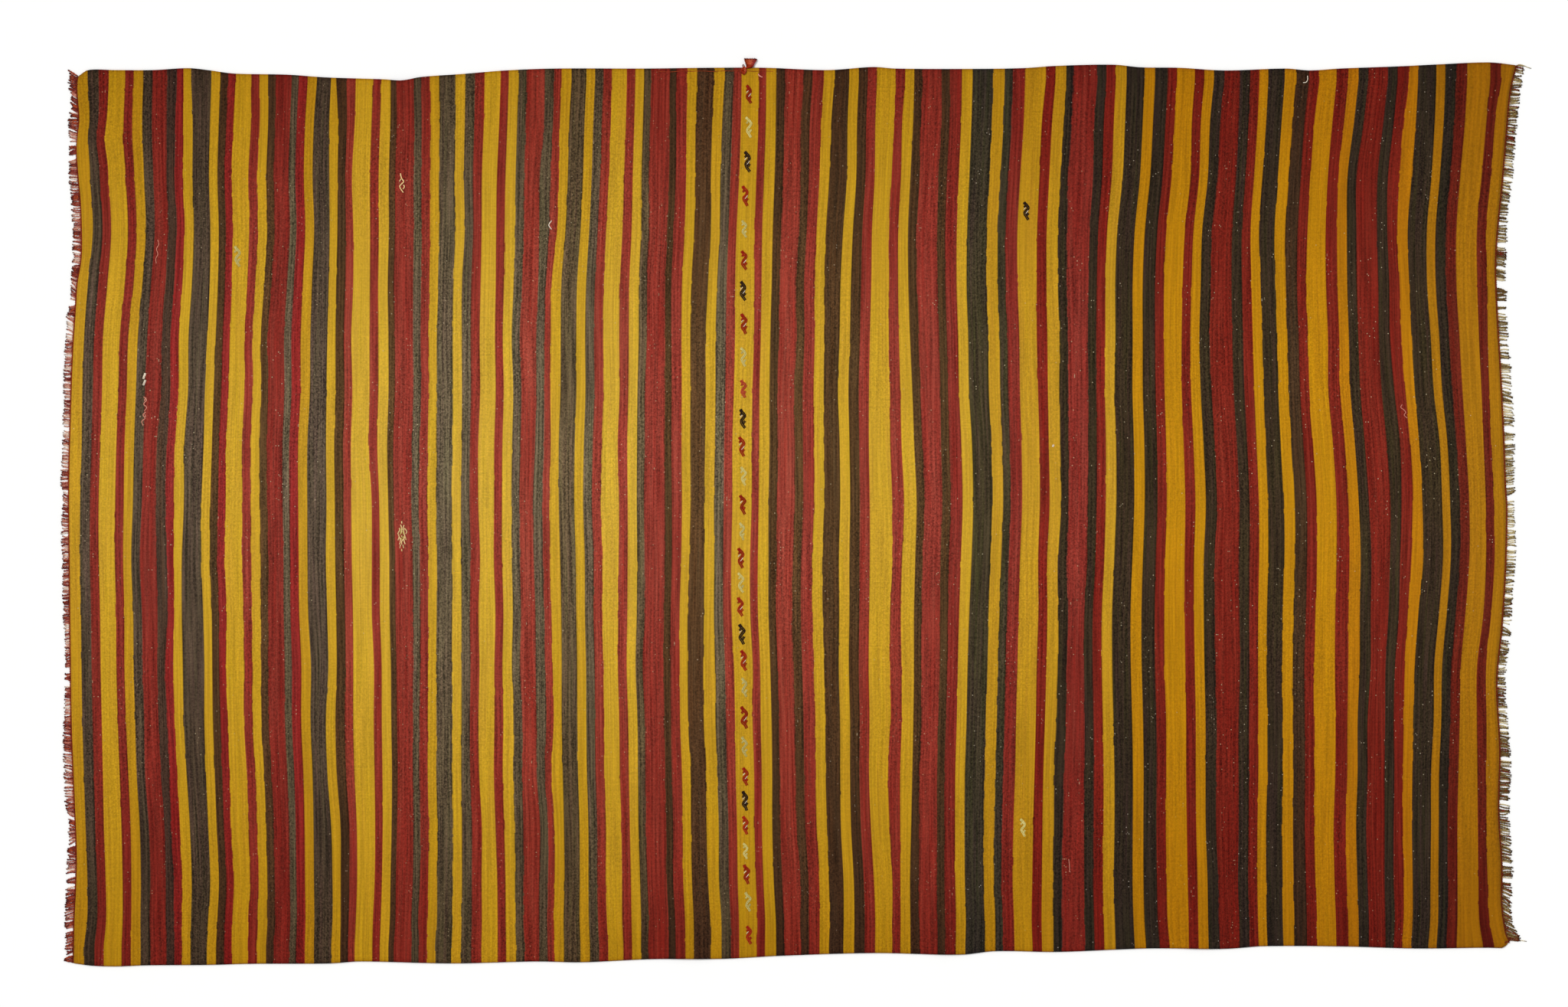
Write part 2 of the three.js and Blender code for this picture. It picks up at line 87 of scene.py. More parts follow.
# The stripes at mid height: for each unit, where its twelve bands end, and the yarns they are of.
# The first row is the lead-in, and the last one the incomplete unit at the right end.
STRIPES = [
    ("103.5 116.5 128.5", "honey stone madder"),
    ("150.5 162 173 184 201 214 226.5 239.5 262 273.5 284.5 294.5",
     "gold madder honey stone madder walnut crimson gold stone gold bark crimson"),
    ("315 326.5 338.5 349 369 378 389.5 401 425 437 448 459",
     "gold brick gold umber madder ash crimson honey slate gold bark rose"),
    ("484 495 506 514 538 548 558 569 589 601.5 613 623.5",
     "straw brick straw umber brick ash brick gold ash straw ash brick"),
    ("644.5 654.5 666 676 694 707 718 729.5 749 761 773 783.5",
     "straw brick straw ash rose ash rose gold lichen gold ash rose"),
    ("808 819 831.5 841 867 878 889.5 901.5 919.5 931.5 944 955",
     "straw rose straw lichen brick bark brick gold umber gold ash rose"),
    ("981 991.5 1003.5 1014.5 1038 1048 1062.5 1076 1097.5 1110 1122 1135.5",
     "gold brick gold bark rose umber brick gold bark gold bark brick"),
    ("1163.5 1180 1195.5 1207.5 1229.5 1242 1257 1269.5 1295 1308.5 1320 1334",
     "gold brick gold bark brick bark madder gold moss honey moss madder"),
    ("1357 1371 1385 1395 1419 1432 1444 1456.5 1481 1495 1511 1523.5",
     "honey russet honey coffee madder coffee russet honey coffee amber coffee rust"),
    ("1547 1560 1575 1589 1618 1632 1644.5 1656 1677 1690.5 1706 1718",
     "amber rust amber coffee rust coffee rust amber coffee amber cinder rust"),
    ("1745 1760 1774 1788 1816 1830 1846 1857 1883 1893.5 1906 1918",
     "amber rust ochre coffee rust coffee rust ochre coffee resin soot oxblood"),
    ("1940 1952 1968", "resin oxblood resin"),
]

# The yarns: colour as it shows in the photograph, and the kind of wool it is
YARNS = {
    "gold": ((206, 162, 44), "yellow"),
    "straw": ((213, 171, 55), "yellow"),
    "honey": ((197, 150, 37), "yellow"),
    "amber": ((193, 135, 14), "yellow"),
    "ochre": ((185, 121, 12), "yellow"),
    "resin": ((171, 116, 16), "yellow"),
    "rose": ((156, 65, 51), "red"),
    "brick": ((150, 59, 47), "red"),
    "madder": ((138, 50, 40), "red"),
    "crimson": ((147, 45, 41), "red"),
    "russet": ((131, 39, 28), "red"),
    "rust": ((125, 38, 26), "red"),
    "oxblood": ((106, 36, 23), "red"),
    "ash": ((106, 92, 70), "grey"),
    "lichen": ((104, 87, 62), "grey"),
    "stone": ((87, 72, 57), "grey"),
    "slate": ((90, 75, 60), "grey"),
    "umber": ((96, 68, 40), "dark"),
    "bark": ((87, 62, 36), "dark"),
    "walnut": ((84, 62, 47), "dark"),
    "cinder": ((72, 51, 32), "dark"),
    "moss": ((70, 60, 39), "spun"),
    "coffee": ((59, 46, 30), "spun"),
    "soot": ((50, 40, 27), "spun"),
}

# Kinds of wool: the mark that stands for it in the shader, how strong its pepper, its streaks and
# its ribs are, how much lint it holds, which way its dye turns along a streak, the painted light on
# its outermost wefts beside the next stripe (a painted lighter rim on the yellows, painted shade in
# the groove on the others), and the shares of red, green and blue that are left where the painted
# shade of the light's falloff is deepest
WOOLS = {
    "yellow": (0.1, (0.11, 0.14, 0.04), 0.05, (0.03, 0.06, -0.12), 0.06, (0.70, 0.60, 0.20)),
    "red": (0.3, (0.23, 0.30, 0.06), 0.80, (0.05, 0.28, 0.28), -0.12, (0.64, 0.40, 0.35)),
    "dark": (0.5, (0.33, 0.34, 0.06), 0.45, (0.08, -0.03, -0.12), -0.30, (0.46, 0.38, 0.42)),
    "spun": (0.7, (0.35, 0.40, 0.08), 0.60, (0.07, -0.09, 0.18), -0.34, (0.50, 0.51, 0.70)),
    "grey": (0.9, (0.40, 0.50, 0.12), 0.30, (0.06, -0.04, 0.08), -0.34, (0.47, 0.41, 0.36)),
}

# How the stripes wander: where the left edges of these bands lie at each of these heights down the
# photograph. A band is named by its place at mid height, and those between follow their neighbours.
LEVELS_PX = [
    105, 160, 230, 300, 370, 440, 510, 580, 657, 730, 800, 870, 940, 1010, 1080, 1150, 1200, 1235,
]
WANDER = [
    (103.5, "113 116.5 116.5 120.3 113.5 108.7 106.3 105.5 103.5 "
            "103.3 104.5 105.3 106.3 108.3 110.7 113 112.7 108.5"),
    (128.5, "141.7 140 141.3 145 140 134.2 133 130.8 128.5 "
            "128.7 130.3 131 132.5 134 135.3 137.7 138.3 135"),
    (162, "174.5 172.8 175.5 178.5 174.5 167.5 165.5 162.7 161.5 "
          "160.7 162.3 162.5 164.5 167.5 170.5 171.5 171.3 170.8"),
    (184, "198 197 199 201 196 191 188 186 184 181 184 185 187 188 193 195 194 195"),
    (201, "216.5 216.5 216.5 218.5 214.5 210 209 203.5 202 203 204.5 204.5 206 209 214 215.5 215.5 216.5"),
    (214, "230 228 227 229.5 226 221 221 217 215 217 218 214 217 220 222 226 226 227"),
    (239.5, "248.8 251 250.8 252.5 250 245.5 245 240 239.5 "
            "236.8 236.7 238 239.2 243 247.3 249.7 248.8 248.3"),
    (262, "275 273.3 272 273.8 273 270.2 266.7 265 262 262 264.3 266 265.8 268 271 273.6 271.5 269"),
    (294.5, "308 305.3 302.5 304.2 302.7 300 298.3 295.2 294.5 "
            "293.3 295.8 295 297.5 300 301.7 305.3 303.3 302.8"),
    (315, "326.7 326.8 323.4 324.4 321.9 318.4 318.2 315 315 "
          "314.6 316.5 317.6 317.6 321.4 323.4 325.4 323 322.5"),
    (349, "360 359 357 358 354 349 350 348 348.7 350 350 350 350.7 354 357 358 359 356.7"),
    (401, "413.8 409.7 408 410 407.2 405 404.5 401 401 "
          "401.3 402.2 405.8 405.3 408 409.2 409.7 410.2 409.7"),
    (425, "432 429.5 429.5 430 428.8 427 425.8 425.3 425.8 425 426.7 428.3 425 427 432 433.7 433.7 432"),
    (437, "438.7 441.3 440.8 440.5 438.8 437.8 437.8 436.2 437 "
          "437.5 438.8 439.5 437.8 439.5 444.5 444.7 444.7 444.2"),
    (459, "465 463.7 460 461.7 461.7 459 460.5 458.5 459 "
          "459.7 461.2 461.7 461.7 463.3 466.3 466.7 465 463.3"),
    (484, "486.3 483.7 481.7 482 481.7 481.2 481.2 480.3 484 "
          "484.2 484.2 487 486.7 487.8 488.7 488 485.8 485"),
    (514, "517.5 518 515.8 515.8 514 515.3 515.3 513.3 514 "
          "515.8 516.3 517.5 518.3 519.2 518.3 516.7 516.3 514"),
    (548, "548.3 549.7 549 549.2 549 548.3 549 546.7 545.8 "
          "547.5 547.5 547.8 546.7 546.7 548 547.5 545 545.8"),
    (569, "573.3 573.3 573 573 571.7 569.5 569.7 569.5 569 "
          "569.7 570 569.2 569.7 569.5 570.8 570 569.7 567.8"),
    (601.5, "607.5 606.7 605.5 606.7 603 602.8 603 602.8 601.7 "
            "602.2 602.5 602.5 602.5 602.2 603 603 602.5 601.7"),
    (623.5, "631.7 630.8 628.3 628 626.7 625.3 626 623.5 623.5 "
            "626 623.7 625 623.7 624.7 628.3 627.8 628.3 627.5"),
    (644.5, "653.3 651.3 648.3 647.2 646.7 645.8 646.7 644.7 644.5 "
            "644.2 646.3 645 645 644.2 646.3 648.7 649.2 649.2"),
    (676, "686.7 685.3 683.7 682.5 680.8 677.8 680 678.7 677.5 "
          "678.3 679.5 678.3 681.2 680.8 682.5 682.5 682.5 684.2"),
    (694, "711 710 704.2 703.8 702.5 700 700 698.3 695.5 "
          "696.7 698.7 699.2 700 700.5 705 703.8 703.8 703.8"),
    (718, "733.3 731.2 730 727.5 720.3 719.2 718.7 719.2 718 "
          "718.7 720 721.7 723 720.3 724.2 724.2 723.3 724.2"),
    (729.5, "746.2 743.3 741.3 738.3 732.8 732 731.7 729.5 729.5 "
            "731.3 732.7 733.3 733.3 734.7 736.3 737 735.7 736.3"),
    (783.5, "798.3 796.3 794.2 790.8 787.8 786.3 787.2 785 783.5 "
            "785.8 785.3 787.2 787.8 788.3 790.5 790.3 791.7 793.7"),
    (808, "818.3 817 814.7 812.5 809.2 808.3 808.8 806.3 808 "
          "807.5 807 806.7 808.3 809.2 811.2 812 812.2 813.8"),
    (841, "850.8 849.2 847.5 847.5 844.7 845 842.5 842.5 841.3 "
          "842.2 841.7 839.7 842.5 843.3 843.3 845.8 847.5 846.7"),
    (878, "883.3 883.3 882.5 880 876.7 876.7 877.2 876.7 877.5 "
          "877.5 875.8 875.8 876.3 877.5 879.2 879.2 881.7 882.5"),
    (901.5, "910 908 907.5 906.2 902.5 901.2 901.3 901.2 901.5 "
            "899.7 897.5 897.8 898.3 901.5 902 903.3 905.5 905.8"),
    (919.5, "933 930.5 928.8 928 925 921.7 922 921.2 920 920 919.7 918.8 919.5 922 923 925 928 928.3"),
    (931.5, "945.5 942.5 940 939.2 935.8 933.7 933.7 933 931.7 "
            "932.2 931.7 933 933.7 935.8 938 938.3 941.3 941.7"),
    (955, "967.2 966.3 964.2 960.5 958.8 958.5 957 955 955 "
          "953.5 953.7 957 958.7 959.5 961.3 962 963.7 964.2"),
    (981, "990 989.2 986.3 984.2 983.7 983.3 981.2 980.5 980.3 "
          "978 978.3 981.7 981.3 983.3 983.8 985.8 987.5 986.7"),
    (1003.5, "1012.5 1012 1010.5 1008 1006.7 1004.7 1003.7 1003.7 1002.5 "
             "1002.5 1002.5 1004.7 1006.7 1007.5 1007.5 1009.2 1012 1012.5"),
    (1038, "1049.2 1045.8 1045.3 1043.3 1039.2 1040 1036.7 1037.5 1037.5 "
           "1035 1034.2 1035.8 1037.5 1038.7 1040 1045 1045 1045.8"),
    (1076, "1089.2 1085 1082.5 1078 1075.8 1075.8 1075.3 1075 1075.7 "
           "1073.2 1073.8 1075.7 1077.3 1077.8 1079.5 1082 1083 1082.2"),
    (1097.5, "1109.3 1107.1 1106.3 1101.3 1097.8 1096.7 1094.4 1096.7 1097.3 "
             "1095.8 1096.2 1095.5 1097.2 1097.5 1098.3 1101.7 1102 1101.5"),
    (1135.5, "1145 1142.9 1142 1138.5 1137.5 1135.8 1134.5 1134.3 1135.5 "
             "1135.5 1134.7 1134 1135.2 1134.6 1137 1141 1142.7 1142.5"),
    (1163.5, "1168.8 1166.8 1163 1159.8 1159.8 1159.3 1160.7 1161 1163.5 "
             "1164.3 1161 1160.7 1161.5 1158 1160.2 1164.3 1164.3 1164.3"),
    (1180, "1181.8 1177.7 1176.3 1172.7 1172.5 1173.5 1175.2 1176.7 1180 "
           "1177.3 1175.7 1176.7 1177 1175 1175.2 1175.5 1175.7 1175.3"),
    (1195.5, "1192.5 1191.2 1187.3 1184.3 1184.8 1186.8 1190 1192.3 1195.5 "
             "1194 1192.3 1192.3 1191.5 1190.2 1188.5 1186.8 1187.2 1187.3"),
    (1207.5, "1204.2 1201.7 1200 1196.3 1196.7 1199.2 1201.3 1204.2 1206.7 "
             "1204.2 1203 1202.5 1202.5 1200 1200 1199.2 1199.7 1200.8"),
    (1229.5, "1228.3 1228.3 1224.5 1222.5 1223.3 1225 1226.7 1227.5 1229.2 "
             "1226.7 1226.2 1225.8 1224.2 1222.5 1222.5 1222.5 1222.8 1223.3"),
    (1269.5, "1268.8 1267.2 1264.5 1261.7 1260.8 1263 1264 1268 1269.5 "
             "1267.5 1264.5 1262.2 1260.8 1258.8 1258.3 1258.8 1260 1259.2"),
    (1334, "1337.5 1335.8 1331.3 1327.5 1327.8 1330.2 1331 1333 1333.8 "
           "1331 1329.2 1327.5 1325.8 1324.5 1322.2 1321.2 1323.1 1323.8"),
    (1357, "1365.5 1360 1357 1353.8 1353.3 1353.3 1355 1357 1357.5 "
           "1355.3 1355.5 1353.3 1352.2 1350.5 1348.7 1347.5 1346.7 1348"),
    (1385, "1391.7 1388 1383.8 1380.3 1380.3 1382.5 1382.2 1382.5 1384.2 "
           "1380 1380 1380 1377.2 1374.5 1374.2 1373.8 1373.8 1373.8"),
    (1395, "1400 1397.5 1393 1391.7 1391.7 1393.3 1393.3 1394.2 1394.2 "
           "1391.7 1393.3 1391.7 1390.8 1388 1386.3 1385 1385 1385"),
    (1419, "1431.7 1427.5 1425.8 1421.7 1420.3 1419.2 1420 1420 1419.2 "
           "1418.3 1414.7 1414.2 1415 1414.7 1414.2 1414.2 1415 1415.8"),
    (1456.5, "1470 1468 1465 1458 1455.3 1455.5 1454.5 1456.3 1456.5 "
             "1453.8 1451 1451.2 1452.7 1454.2 1454.2 1453.2 1454.5 1455.5"),
    (1523.5, "1536.7 1533.5 1529.5 1522.8 1519.7 1519.7 1520.5 1522.5 1523.3 "
             "1521 1520 1520.3 1522.3 1522.5 1522 1523 1524 1527"),
    (1547, "1559.7 1555.8 1554.2 1547 1543.8 1542.5 1542.5 1545 1547 "
           "1546.2 1546.2 1547.2 1548.3 1548.3 1549.2 1550.3 1551.3 1551.7"),
    (1589, "1598.3 1592.5 1589.2 1581.7 1580.3 1578.3 1580.8 1585 1588.7 "
           "1585 1585 1585.8 1587.5 1587.5 1587.5 1590.3 1590.8 1591.7"),
    (1618, "1618.3 1616.7 1613.3 1608.3 1607.2 1608.3 1610 1614.2 1617.5 "
           "1616.7 1617.5 1618.3 1616.7 1616.7 1616.7 1615.8 1617.5 1618"),
    (1656, "1656.2 1653.3 1648.5 1644 1646 1648 1650 1652.5 1655.5 "
           "1656 1654.3 1653.7 1654.8 1654.8 1653.2 1653.3 1653.8 1655"),
    (1718, "1722.2 1715.5 1710.8 1706.7 1705 1707.3 1709 1713.7 1718.5 "
           "1718.8 1717.5 1715.2 1715.6 1716 1716 1717.5 1719 1719.2"),
    (1745, "1745.5 1740 1734.2 1731.2 1731.7 1734.2 1734.7 1740.8 1745.3 "
           "1745.3 1743.8 1743.3 1744.2 1743.8 1741.7 1742.8 1744.5 1745.3"),
    (1788, "1787 1780.8 1771.3 1771.3 1771.7 1773.7 1776.3 1782.2 1787.5 "
           "1790.8 1790 1790 1785.8 1785.8 1784.2 1785.8 1787.5 1787.5"),
    (1816, "1812 1805.8 1798.3 1797.5 1799.2 1800 1803.3 1810 1815 "
           "1814.2 1812.5 1808.7 1808.3 1807.5 1807.5 1807.5 1808.5 1809"),
    (1830, "1825 1820 1812.5 1811.7 1814.2 1815 1820.8 1828.3 1830 "
           "1828.3 1826.7 1821.7 1820 1820.8 1820 1820 1821.5 1820"),
    (1846, "1840.3 1833 1827.2 1824.2 1827.5 1829.7 1835 1841.7 1845 "
           "1842.5 1838.7 1834.2 1832.8 1831.7 1831.7 1833.3 1833.3 1830.8"),
    (1857, "1851.7 1848.7 1843.3 1838 1840 1843 1847.3 1853 1857.2 "
           "1857.5 1852 1847.2 1845 1844.2 1843.5 1844.6 1844.5 1842.5"),
    (1883, "1875 1873 1868.8 1862.8 1863 1867.8 1871.7 1879.7 1882.8 "
           "1883.8 1878.7 1872.5 1871.7 1868.3 1868.3 1867.5 1867.2 1864.7"),
    (1918, "1915 1912 1906 1901 1901 1905 1909 1913.7 1918 "
           "1918 1913 1907 1905.5 1903.7 1902.3 1902.5 1902.3 1900.8"),
    (1940, "1945.3 1940.3 1934.2 1928 1928.3 1930.8 1934.2 1937 1939.7 "
           "1940 1936.7 1928.3 1928 1928.7 1929.2 1930 1930.8 1935.8"),
    (1952, "1961.3 1952.8 1948 1941.7 1943 1943.3 1945.3 1948.3 1951.7 "
           "1952.2 1947.8 1941.2 1941.7 1941.7 1941.7 1943.8 1945.3 1951.7"),
]

# The cockles that lift the cloth: x0, y0, x1, y1 in pixels, height and reach in metres
COCKLES = [
    (836, 1006, 967, 921, 0.004, 0.064),
    (700, 1012, 836, 1004, 0.0018, 0.070),
    (1195, 892, 1319, 872, 0.003, 0.058),
    (1371, 784, 1476, 718, 0.003, 0.062),
    (1580, 712, 1900, 706, 0.0022, 0.066),
    (330, 992, 395, 976, 0.0016, 0.060),
    (524, 104, 516, 185, 0.0024, 0.060),
    (100, 186, 165, 192, 0.0022, 0.056),
    (106, 300, 180, 290, 0.0024, 0.060),
    (903, 1254, 898, 1172, 0.0024, 0.062),
    (1236, 1248, 1242, 1176, 0.0022, 0.062),
    (1568, 1238, 1560, 1186, 0.0018, 0.058),
    (1500, 86, 1492, 160, 0.002, 0.060),
]

# The cloth
CLOTH_THICKNESS = 0.0026
FLOOR_DROP = 0.0002
# The ribs along its selvedges: how high, and each one's place, reach and share of the height
SELVEDGE_RISE = 0.0007
SELVEDGE_RIBS_PX = ((1.3, 1.1, 1.0), (4.6, 1.2, 0.6))

# The field's grid: its steps, its close rows along both selvedges, and the rounds that fit it to
# the outline from a first guess of its top
COLUMN_STEP_PX = 4.9
ROW_STEP_PX = 6.4
EDGE_ROWS_PX = (0, 1.3, 2.6, 3.6, 4.6, 6.2, 9.5)
GRID_ROUNDS = 12
FIRST_TOP_PX = 90


def through(rows):
    """A smooth curve through (station, place) rows, as a function of the station."""
    keys, values = np.array(rows, float).T
    before = np.maximum(np.arange(len(keys)) - 1, 0)
    after = np.minimum(np.arange(len(keys)) + 1, len(keys) - 1)
    slopes = (values[after] - values[before]) / (keys[after] - keys[before])

    def at(station):
        s = np.asarray(station, float)
        i = np.clip(np.searchsorted(keys, s) - 1, 0, len(keys) - 2)
        span = keys[i + 1] - keys[i]
        t = np.clip((s - keys[i]) / span, 0, 1)
        t2 = t * t
        t3 = t2 * t
        return (
            (2 * t3 - 3 * t2 + 1) * values[i]
            + (t3 - 2 * t2 + t) * span * slopes[i]
            + (3 * t2 - 2 * t3) * values[i + 1]
            + (t3 - t2) * span * slopes[i + 1]
        )

    return at


top_selvedge = through(TOP_SELVEDGE)
bottom_selvedge = through(BOTTOM_SELVEDGE)
left_end = through(LEFT_END)
right_end = through(RIGHT_END)

# The frame's origin against the chart: the CAD field's box has the charted outline's extremes.
ENDS_TOP_PX = 85
ENDS_BOTTOM_PX = 1258
SELVEDGES_LEFT_PX = 96
SELVEDGES_RIGHT_PX = 1980
ENDS_AT_PX = np.linspace(ENDS_TOP_PX, ENDS_BOTTOM_PX, 2000)
SELVEDGES_AT_PX = np.linspace(SELVEDGES_LEFT_PX, SELVEDGES_RIGHT_PX, 4000)
field_low, field_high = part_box("field")
SHIFT_X = field_high.x - (right_end(ENDS_AT_PX).max() - MIDDLE_PX[0]) * METRES_PER_PX
SHIFT_Y = field_high.y - (MIDDLE_PX[1] - top_selvedge(SELVEDGES_AT_PX).min()) * METRES_PER_PX


def kilim_x(px):
    return (px - MIDDLE_PX[0]) * METRES_PER_PX + SHIFT_X


def kilim_y(py):
    return (MIDDLE_PX[1] - py) * METRES_PER_PX + SHIFT_Y


def lift(x, y):
    """How high the cockles lift the cloth at points of the frame."""
    height = np.zeros(np.broadcast(x, y).shape)
    for x0, y0, x1, y1, rise, reach in COCKLES:
        ax, ay = kilim_x(x0), kilim_y(y0)
        dx, dy = kilim_x(x1) - ax, kilim_y(y1) - ay
        t = np.clip(((x - ax) * dx + (y - ay) * dy) / (dx * dx + dy * dy), 0, 1)
        off = np.hypot(x - ax - t * dx, y - ay - t * dy) / reach
        height += np.where(off < 1, rise * np.cos(math.pi / 2 * off) ** 2, 0)
    return height


# The camera looks straight down on the middle of the photograph's frame.
LENS_MM = 100
SENSOR_MM = 36
CLIP_END = 100
camera_data = bpy.data.cameras.new("camera")
camera_data.lens = LENS_MM
camera_data.sensor_width = SENSOR_MM
camera = bpy.data.objects.new("camera", camera_data)
bpy.context.scene.collection.objects.link(camera)
frame_width = IMAGE_WIDTH_PX * METRES_PER_PX
camera.location = (
    kilim_x(IMAGE_WIDTH_PX / 2),
    kilim_y(IMAGE_HEIGHT_PX / 2),
    CLOTH_THICKNESS + frame_width * LENS_MM / SENSOR_MM,
)
camera_data.clip_end = CLIP_END
bpy.context.scene.camera = camera


def linear(channel):
    """A channel of a display colour, from 0 to 255, as linear light."""
    c = channel / 255
    return c / 12.92 if c <= 0.04045 else ((c + 0.055) / 1.055) ** 2.4


def paint(rgb, alpha=1.0):
    return (*(linear(channel) for channel in rgb), alpha)


class Shader:
    """A material's node tree, built by short calls."""

    def __init__(self, name):
        self.material = bpy.data.materials.new(name)
        self.material.use_nodes = True
        self.tree = self.material.node_tree
        self.principled = self.tree.nodes["Principled BSDF"]

    def link(self, source, target):
        if isinstance(source, bpy.types.NodeSocket):
            self.tree.links.new(source, target)
        else:
            target.default_value = source

    def node(self, kind, **settings):
        made = self.tree.nodes.new(kind)
        for key, value in settings.items():
            setattr(made, key, value)
        return made

    def fed(self, made, values):
        """A node with its inputs fed in order."""
        for socket, value in zip(made.inputs, values):
            self.link(value, socket)
        return made

    def math(self, operation, a, b=0.0, c=0.0):
        return self.fed(self.node("ShaderNodeMath", operation=operation), (a, b, c)).outputs[0]

    def attribute(self, name):
        return self.node("ShaderNodeAttribute", attribute_name=name).outputs["Fac"]

    def place(self):
        """The frame's own coordinates in metres."""
        return self.node("ShaderNodeTexCoord").outputs["Object"]

    def vector(self, x, y):
        return self.fed(self.node("ShaderNodeCombineXYZ"), (x, y)).outputs[0]

    def parts(self, colour):
        """The three channels of a colour."""
        return self.fed(self.node("ShaderNodeSeparateColor"), (colour,)).outputs[:3]

    def cells(self, corner):
        """Three unrelated random numbers for each cell, from its corner's whole coordinates."""
        made = self.node("ShaderNodeTexWhiteNoise", noise_dimensions="2D")
        self.link(corner, made.inputs["Vector"])
        return self.parts(made.outputs["Color"])

    def vectors(self, operation, a, b=(0, 0, 0), c=(0, 0, 0)):
        made = self.fed(self.node("ShaderNodeVectorMath", operation=operation), (a, b, c))
        return made.outputs["Value" if operation == "DISTANCE" else "Vector"]

    def tinted(self, colour, turn, amount):
        """A colour whose channels are turned up or down by (turn - 0.5) times a varying amount."""
        centred = self.vectors("SUBTRACT", turn, (0.5, 0.5, 0.5))
        return self.vectors("MULTIPLY_ADD", colour, self.bright(centred, amount), colour)

    def noise(self, scale, detail=2.0, roughness=0.5, at=None):
        """Noise whose grains are 1 / scale metres along X, Y and Z."""
        made = self.node("ShaderNodeTexNoise")
        mapping = self.node("ShaderNodeMapping")
        mapping.inputs["Scale"].default_value = scale
        self.link(at or self.place(), mapping.inputs["Vector"])
        self.link(mapping.outputs[0], made.inputs["Vector"])
        for key, number in (("Scale", 1), ("Detail", detail), ("Roughness", roughness)):
            made.inputs[key].default_value = number
        return made.outputs["Fac"]

    def spread(self, value, low, high, to_low=0.0, to_high=1.0):
        """A value moved from one range to another, and kept in it."""
        made = self.node("ShaderNodeMapRange", clamp=True)
        for key, number in (("From Min", low), ("From Max", high), ("To Min", to_low), ("To Max", to_high)):
            self.link(number, made.inputs[key])
        self.link(value, made.inputs["Value"])
        return made.outputs[0]

    def mix(self, factor, a, b, blend="MIX"):
        made = self.node("ShaderNodeMix", data_type="RGBA", blend_type=blend)
        self.link(factor, made.inputs["Factor"])
        self.link(a, made.inputs["A"])
        self.link(b, made.inputs["B"])
        return made.outputs["Result"]

    def ramp(self, value, stops, interpolation="LINEAR"):
        """A colour ramp through (position, colour) stops; gives its colour and its alpha."""
        made = self.node("ShaderNodeValToRGB")
        made.color_ramp.interpolation = interpolation
        elements = made.color_ramp.elements
        elements.remove(elements[1])
        elements[0].position, elements[0].color = stops[0]
        for position, colour in stops[1:]:
            elements.new(position).color = colour
        self.link(value, made.inputs["Fac"])
        return made.outputs["Color"], made.outputs["Alpha"]

    def tones(self, value, stops):
        """The colour of a ramp through (position, display colour) stops."""
        return self.ramp(value, [(at, paint(rgb)) for at, rgb in stops])[0]

    def bright(self, colour, factor):
        """A colour times a factor that varies over the surface."""
        made = self.node("ShaderNodeVectorMath", operation="SCALE")
        self.link(colour, made.inputs[0])
        self.link(factor, made.inputs["Scale"])
        return made.outputs[0]

    def power(self, colour, exponent):
        """Each channel of a colour to a power."""
        made = self.node("ShaderNodeGamma")
        self.link(colour, made.inputs["Color"])
        self.link(exponent, made.inputs["Gamma"])
        return made.outputs[0]

    def bump(self, height, distance, strength):
        made = self.node("ShaderNodeBump")
        made.inputs["Strength"].default_value = strength
        made.inputs["Distance"].default_value = distance
        self.link(height, made.inputs["Height"])
        self.link(made.outputs["Normal"], self.principled.inputs["Normal"])

    def nap(self, grain):
        """The fine hairs that stand off a yarn."""
        self.bump(self.noise((grain, grain, grain), 2), 0.0004, 0.6)

    def finish(self, colour, surface):
        """The material in a colour, with the surface's own settings."""
        self.link(colour, self.principled.inputs["Base Color"])
        for key, number in surface.items():
            self.principled.inputs[key].default_value = number
        return self.material


# Matt wool with a little nap, and a painted floor
WOOL = {"Roughness": 0.92, "Specular IOR Level": 0.06, "Sheen Weight": 0.03, "Sheen Roughness": 0.5}
FLOOR_PAINT = {"Roughness": 0.85, "Specular IOR Level": 0.1}


def made_object(name, points, faces, attributes):
    """A smooth mesh object from points and faces, with point attributes."""
    mesh = bpy.data.meshes.new(name)
    mesh.from_pydata([tuple(p) for p in points], [], [tuple(f) for f in faces])
    mesh.update()
    for key, values in attributes.items():
        layer = mesh.attributes.new(key, "FLOAT", "POINT")
        layer.data.foreach_set("value", np.asarray(values, np.float32))
    mesh.polygons.foreach_set("use_smooth", [True] * len(mesh.polygons))
    made = bpy.data.objects.new(name, mesh)
    bpy.context.scene.collection.objects.link(made)
    return made


# The stripe chart as band edges and yarns
band_ends = [float(end) for ends, _ in STRIPES for end in ends.split()]
BAND_EDGES_PX = np.array([LEFT_CORD_PX, *band_ends])
BAND_YARNS = [yarn for _, yarns in STRIPES for yarn in yarns.split()]
WANDER_STATIONS = np.array([LEFT_CORD_PX] + [row[0] for row in WANDER] + [RIGHT_CORD_PX])
wander_curves = [left_end]
for _, places in WANDER:
    wander_curves.append(through(list(zip(LEVELS_PX, [float(place) for place in places.split()]))))
wander_curves.append(right_end)


def stripe_x(station, py):
    """The photograph x of a chart station at heights py, one station for each column."""
    places = np.stack([curve(py) for curve in wander_curves])
    i = np.clip(np.searchsorted(WANDER_STATIONS, station) - 1, 0, len(WANDER_STATIONS) - 2)
    share = (station - WANDER_STATIONS[i]) / (WANDER_STATIONS[i + 1] - WANDER_STATIONS[i])
    columns = np.arange(len(station))
    return places[i, ..., columns].T * (1 - share) + places[i + 1, ..., columns].T * share


def field_columns():
    """Chart stations of the field's grid: every band edge, and even steps between."""
    stations = [BAND_EDGES_PX[0]]
    for low, high in zip(BAND_EDGES_PX[:-1], BAND_EDGES_PX[1:]):
        steps = max(1, round((high - low) / COLUMN_STEP_PX))
        stations += list(low + (high - low) * np.arange(1, steps + 1) / steps)
    return np.array(stations)


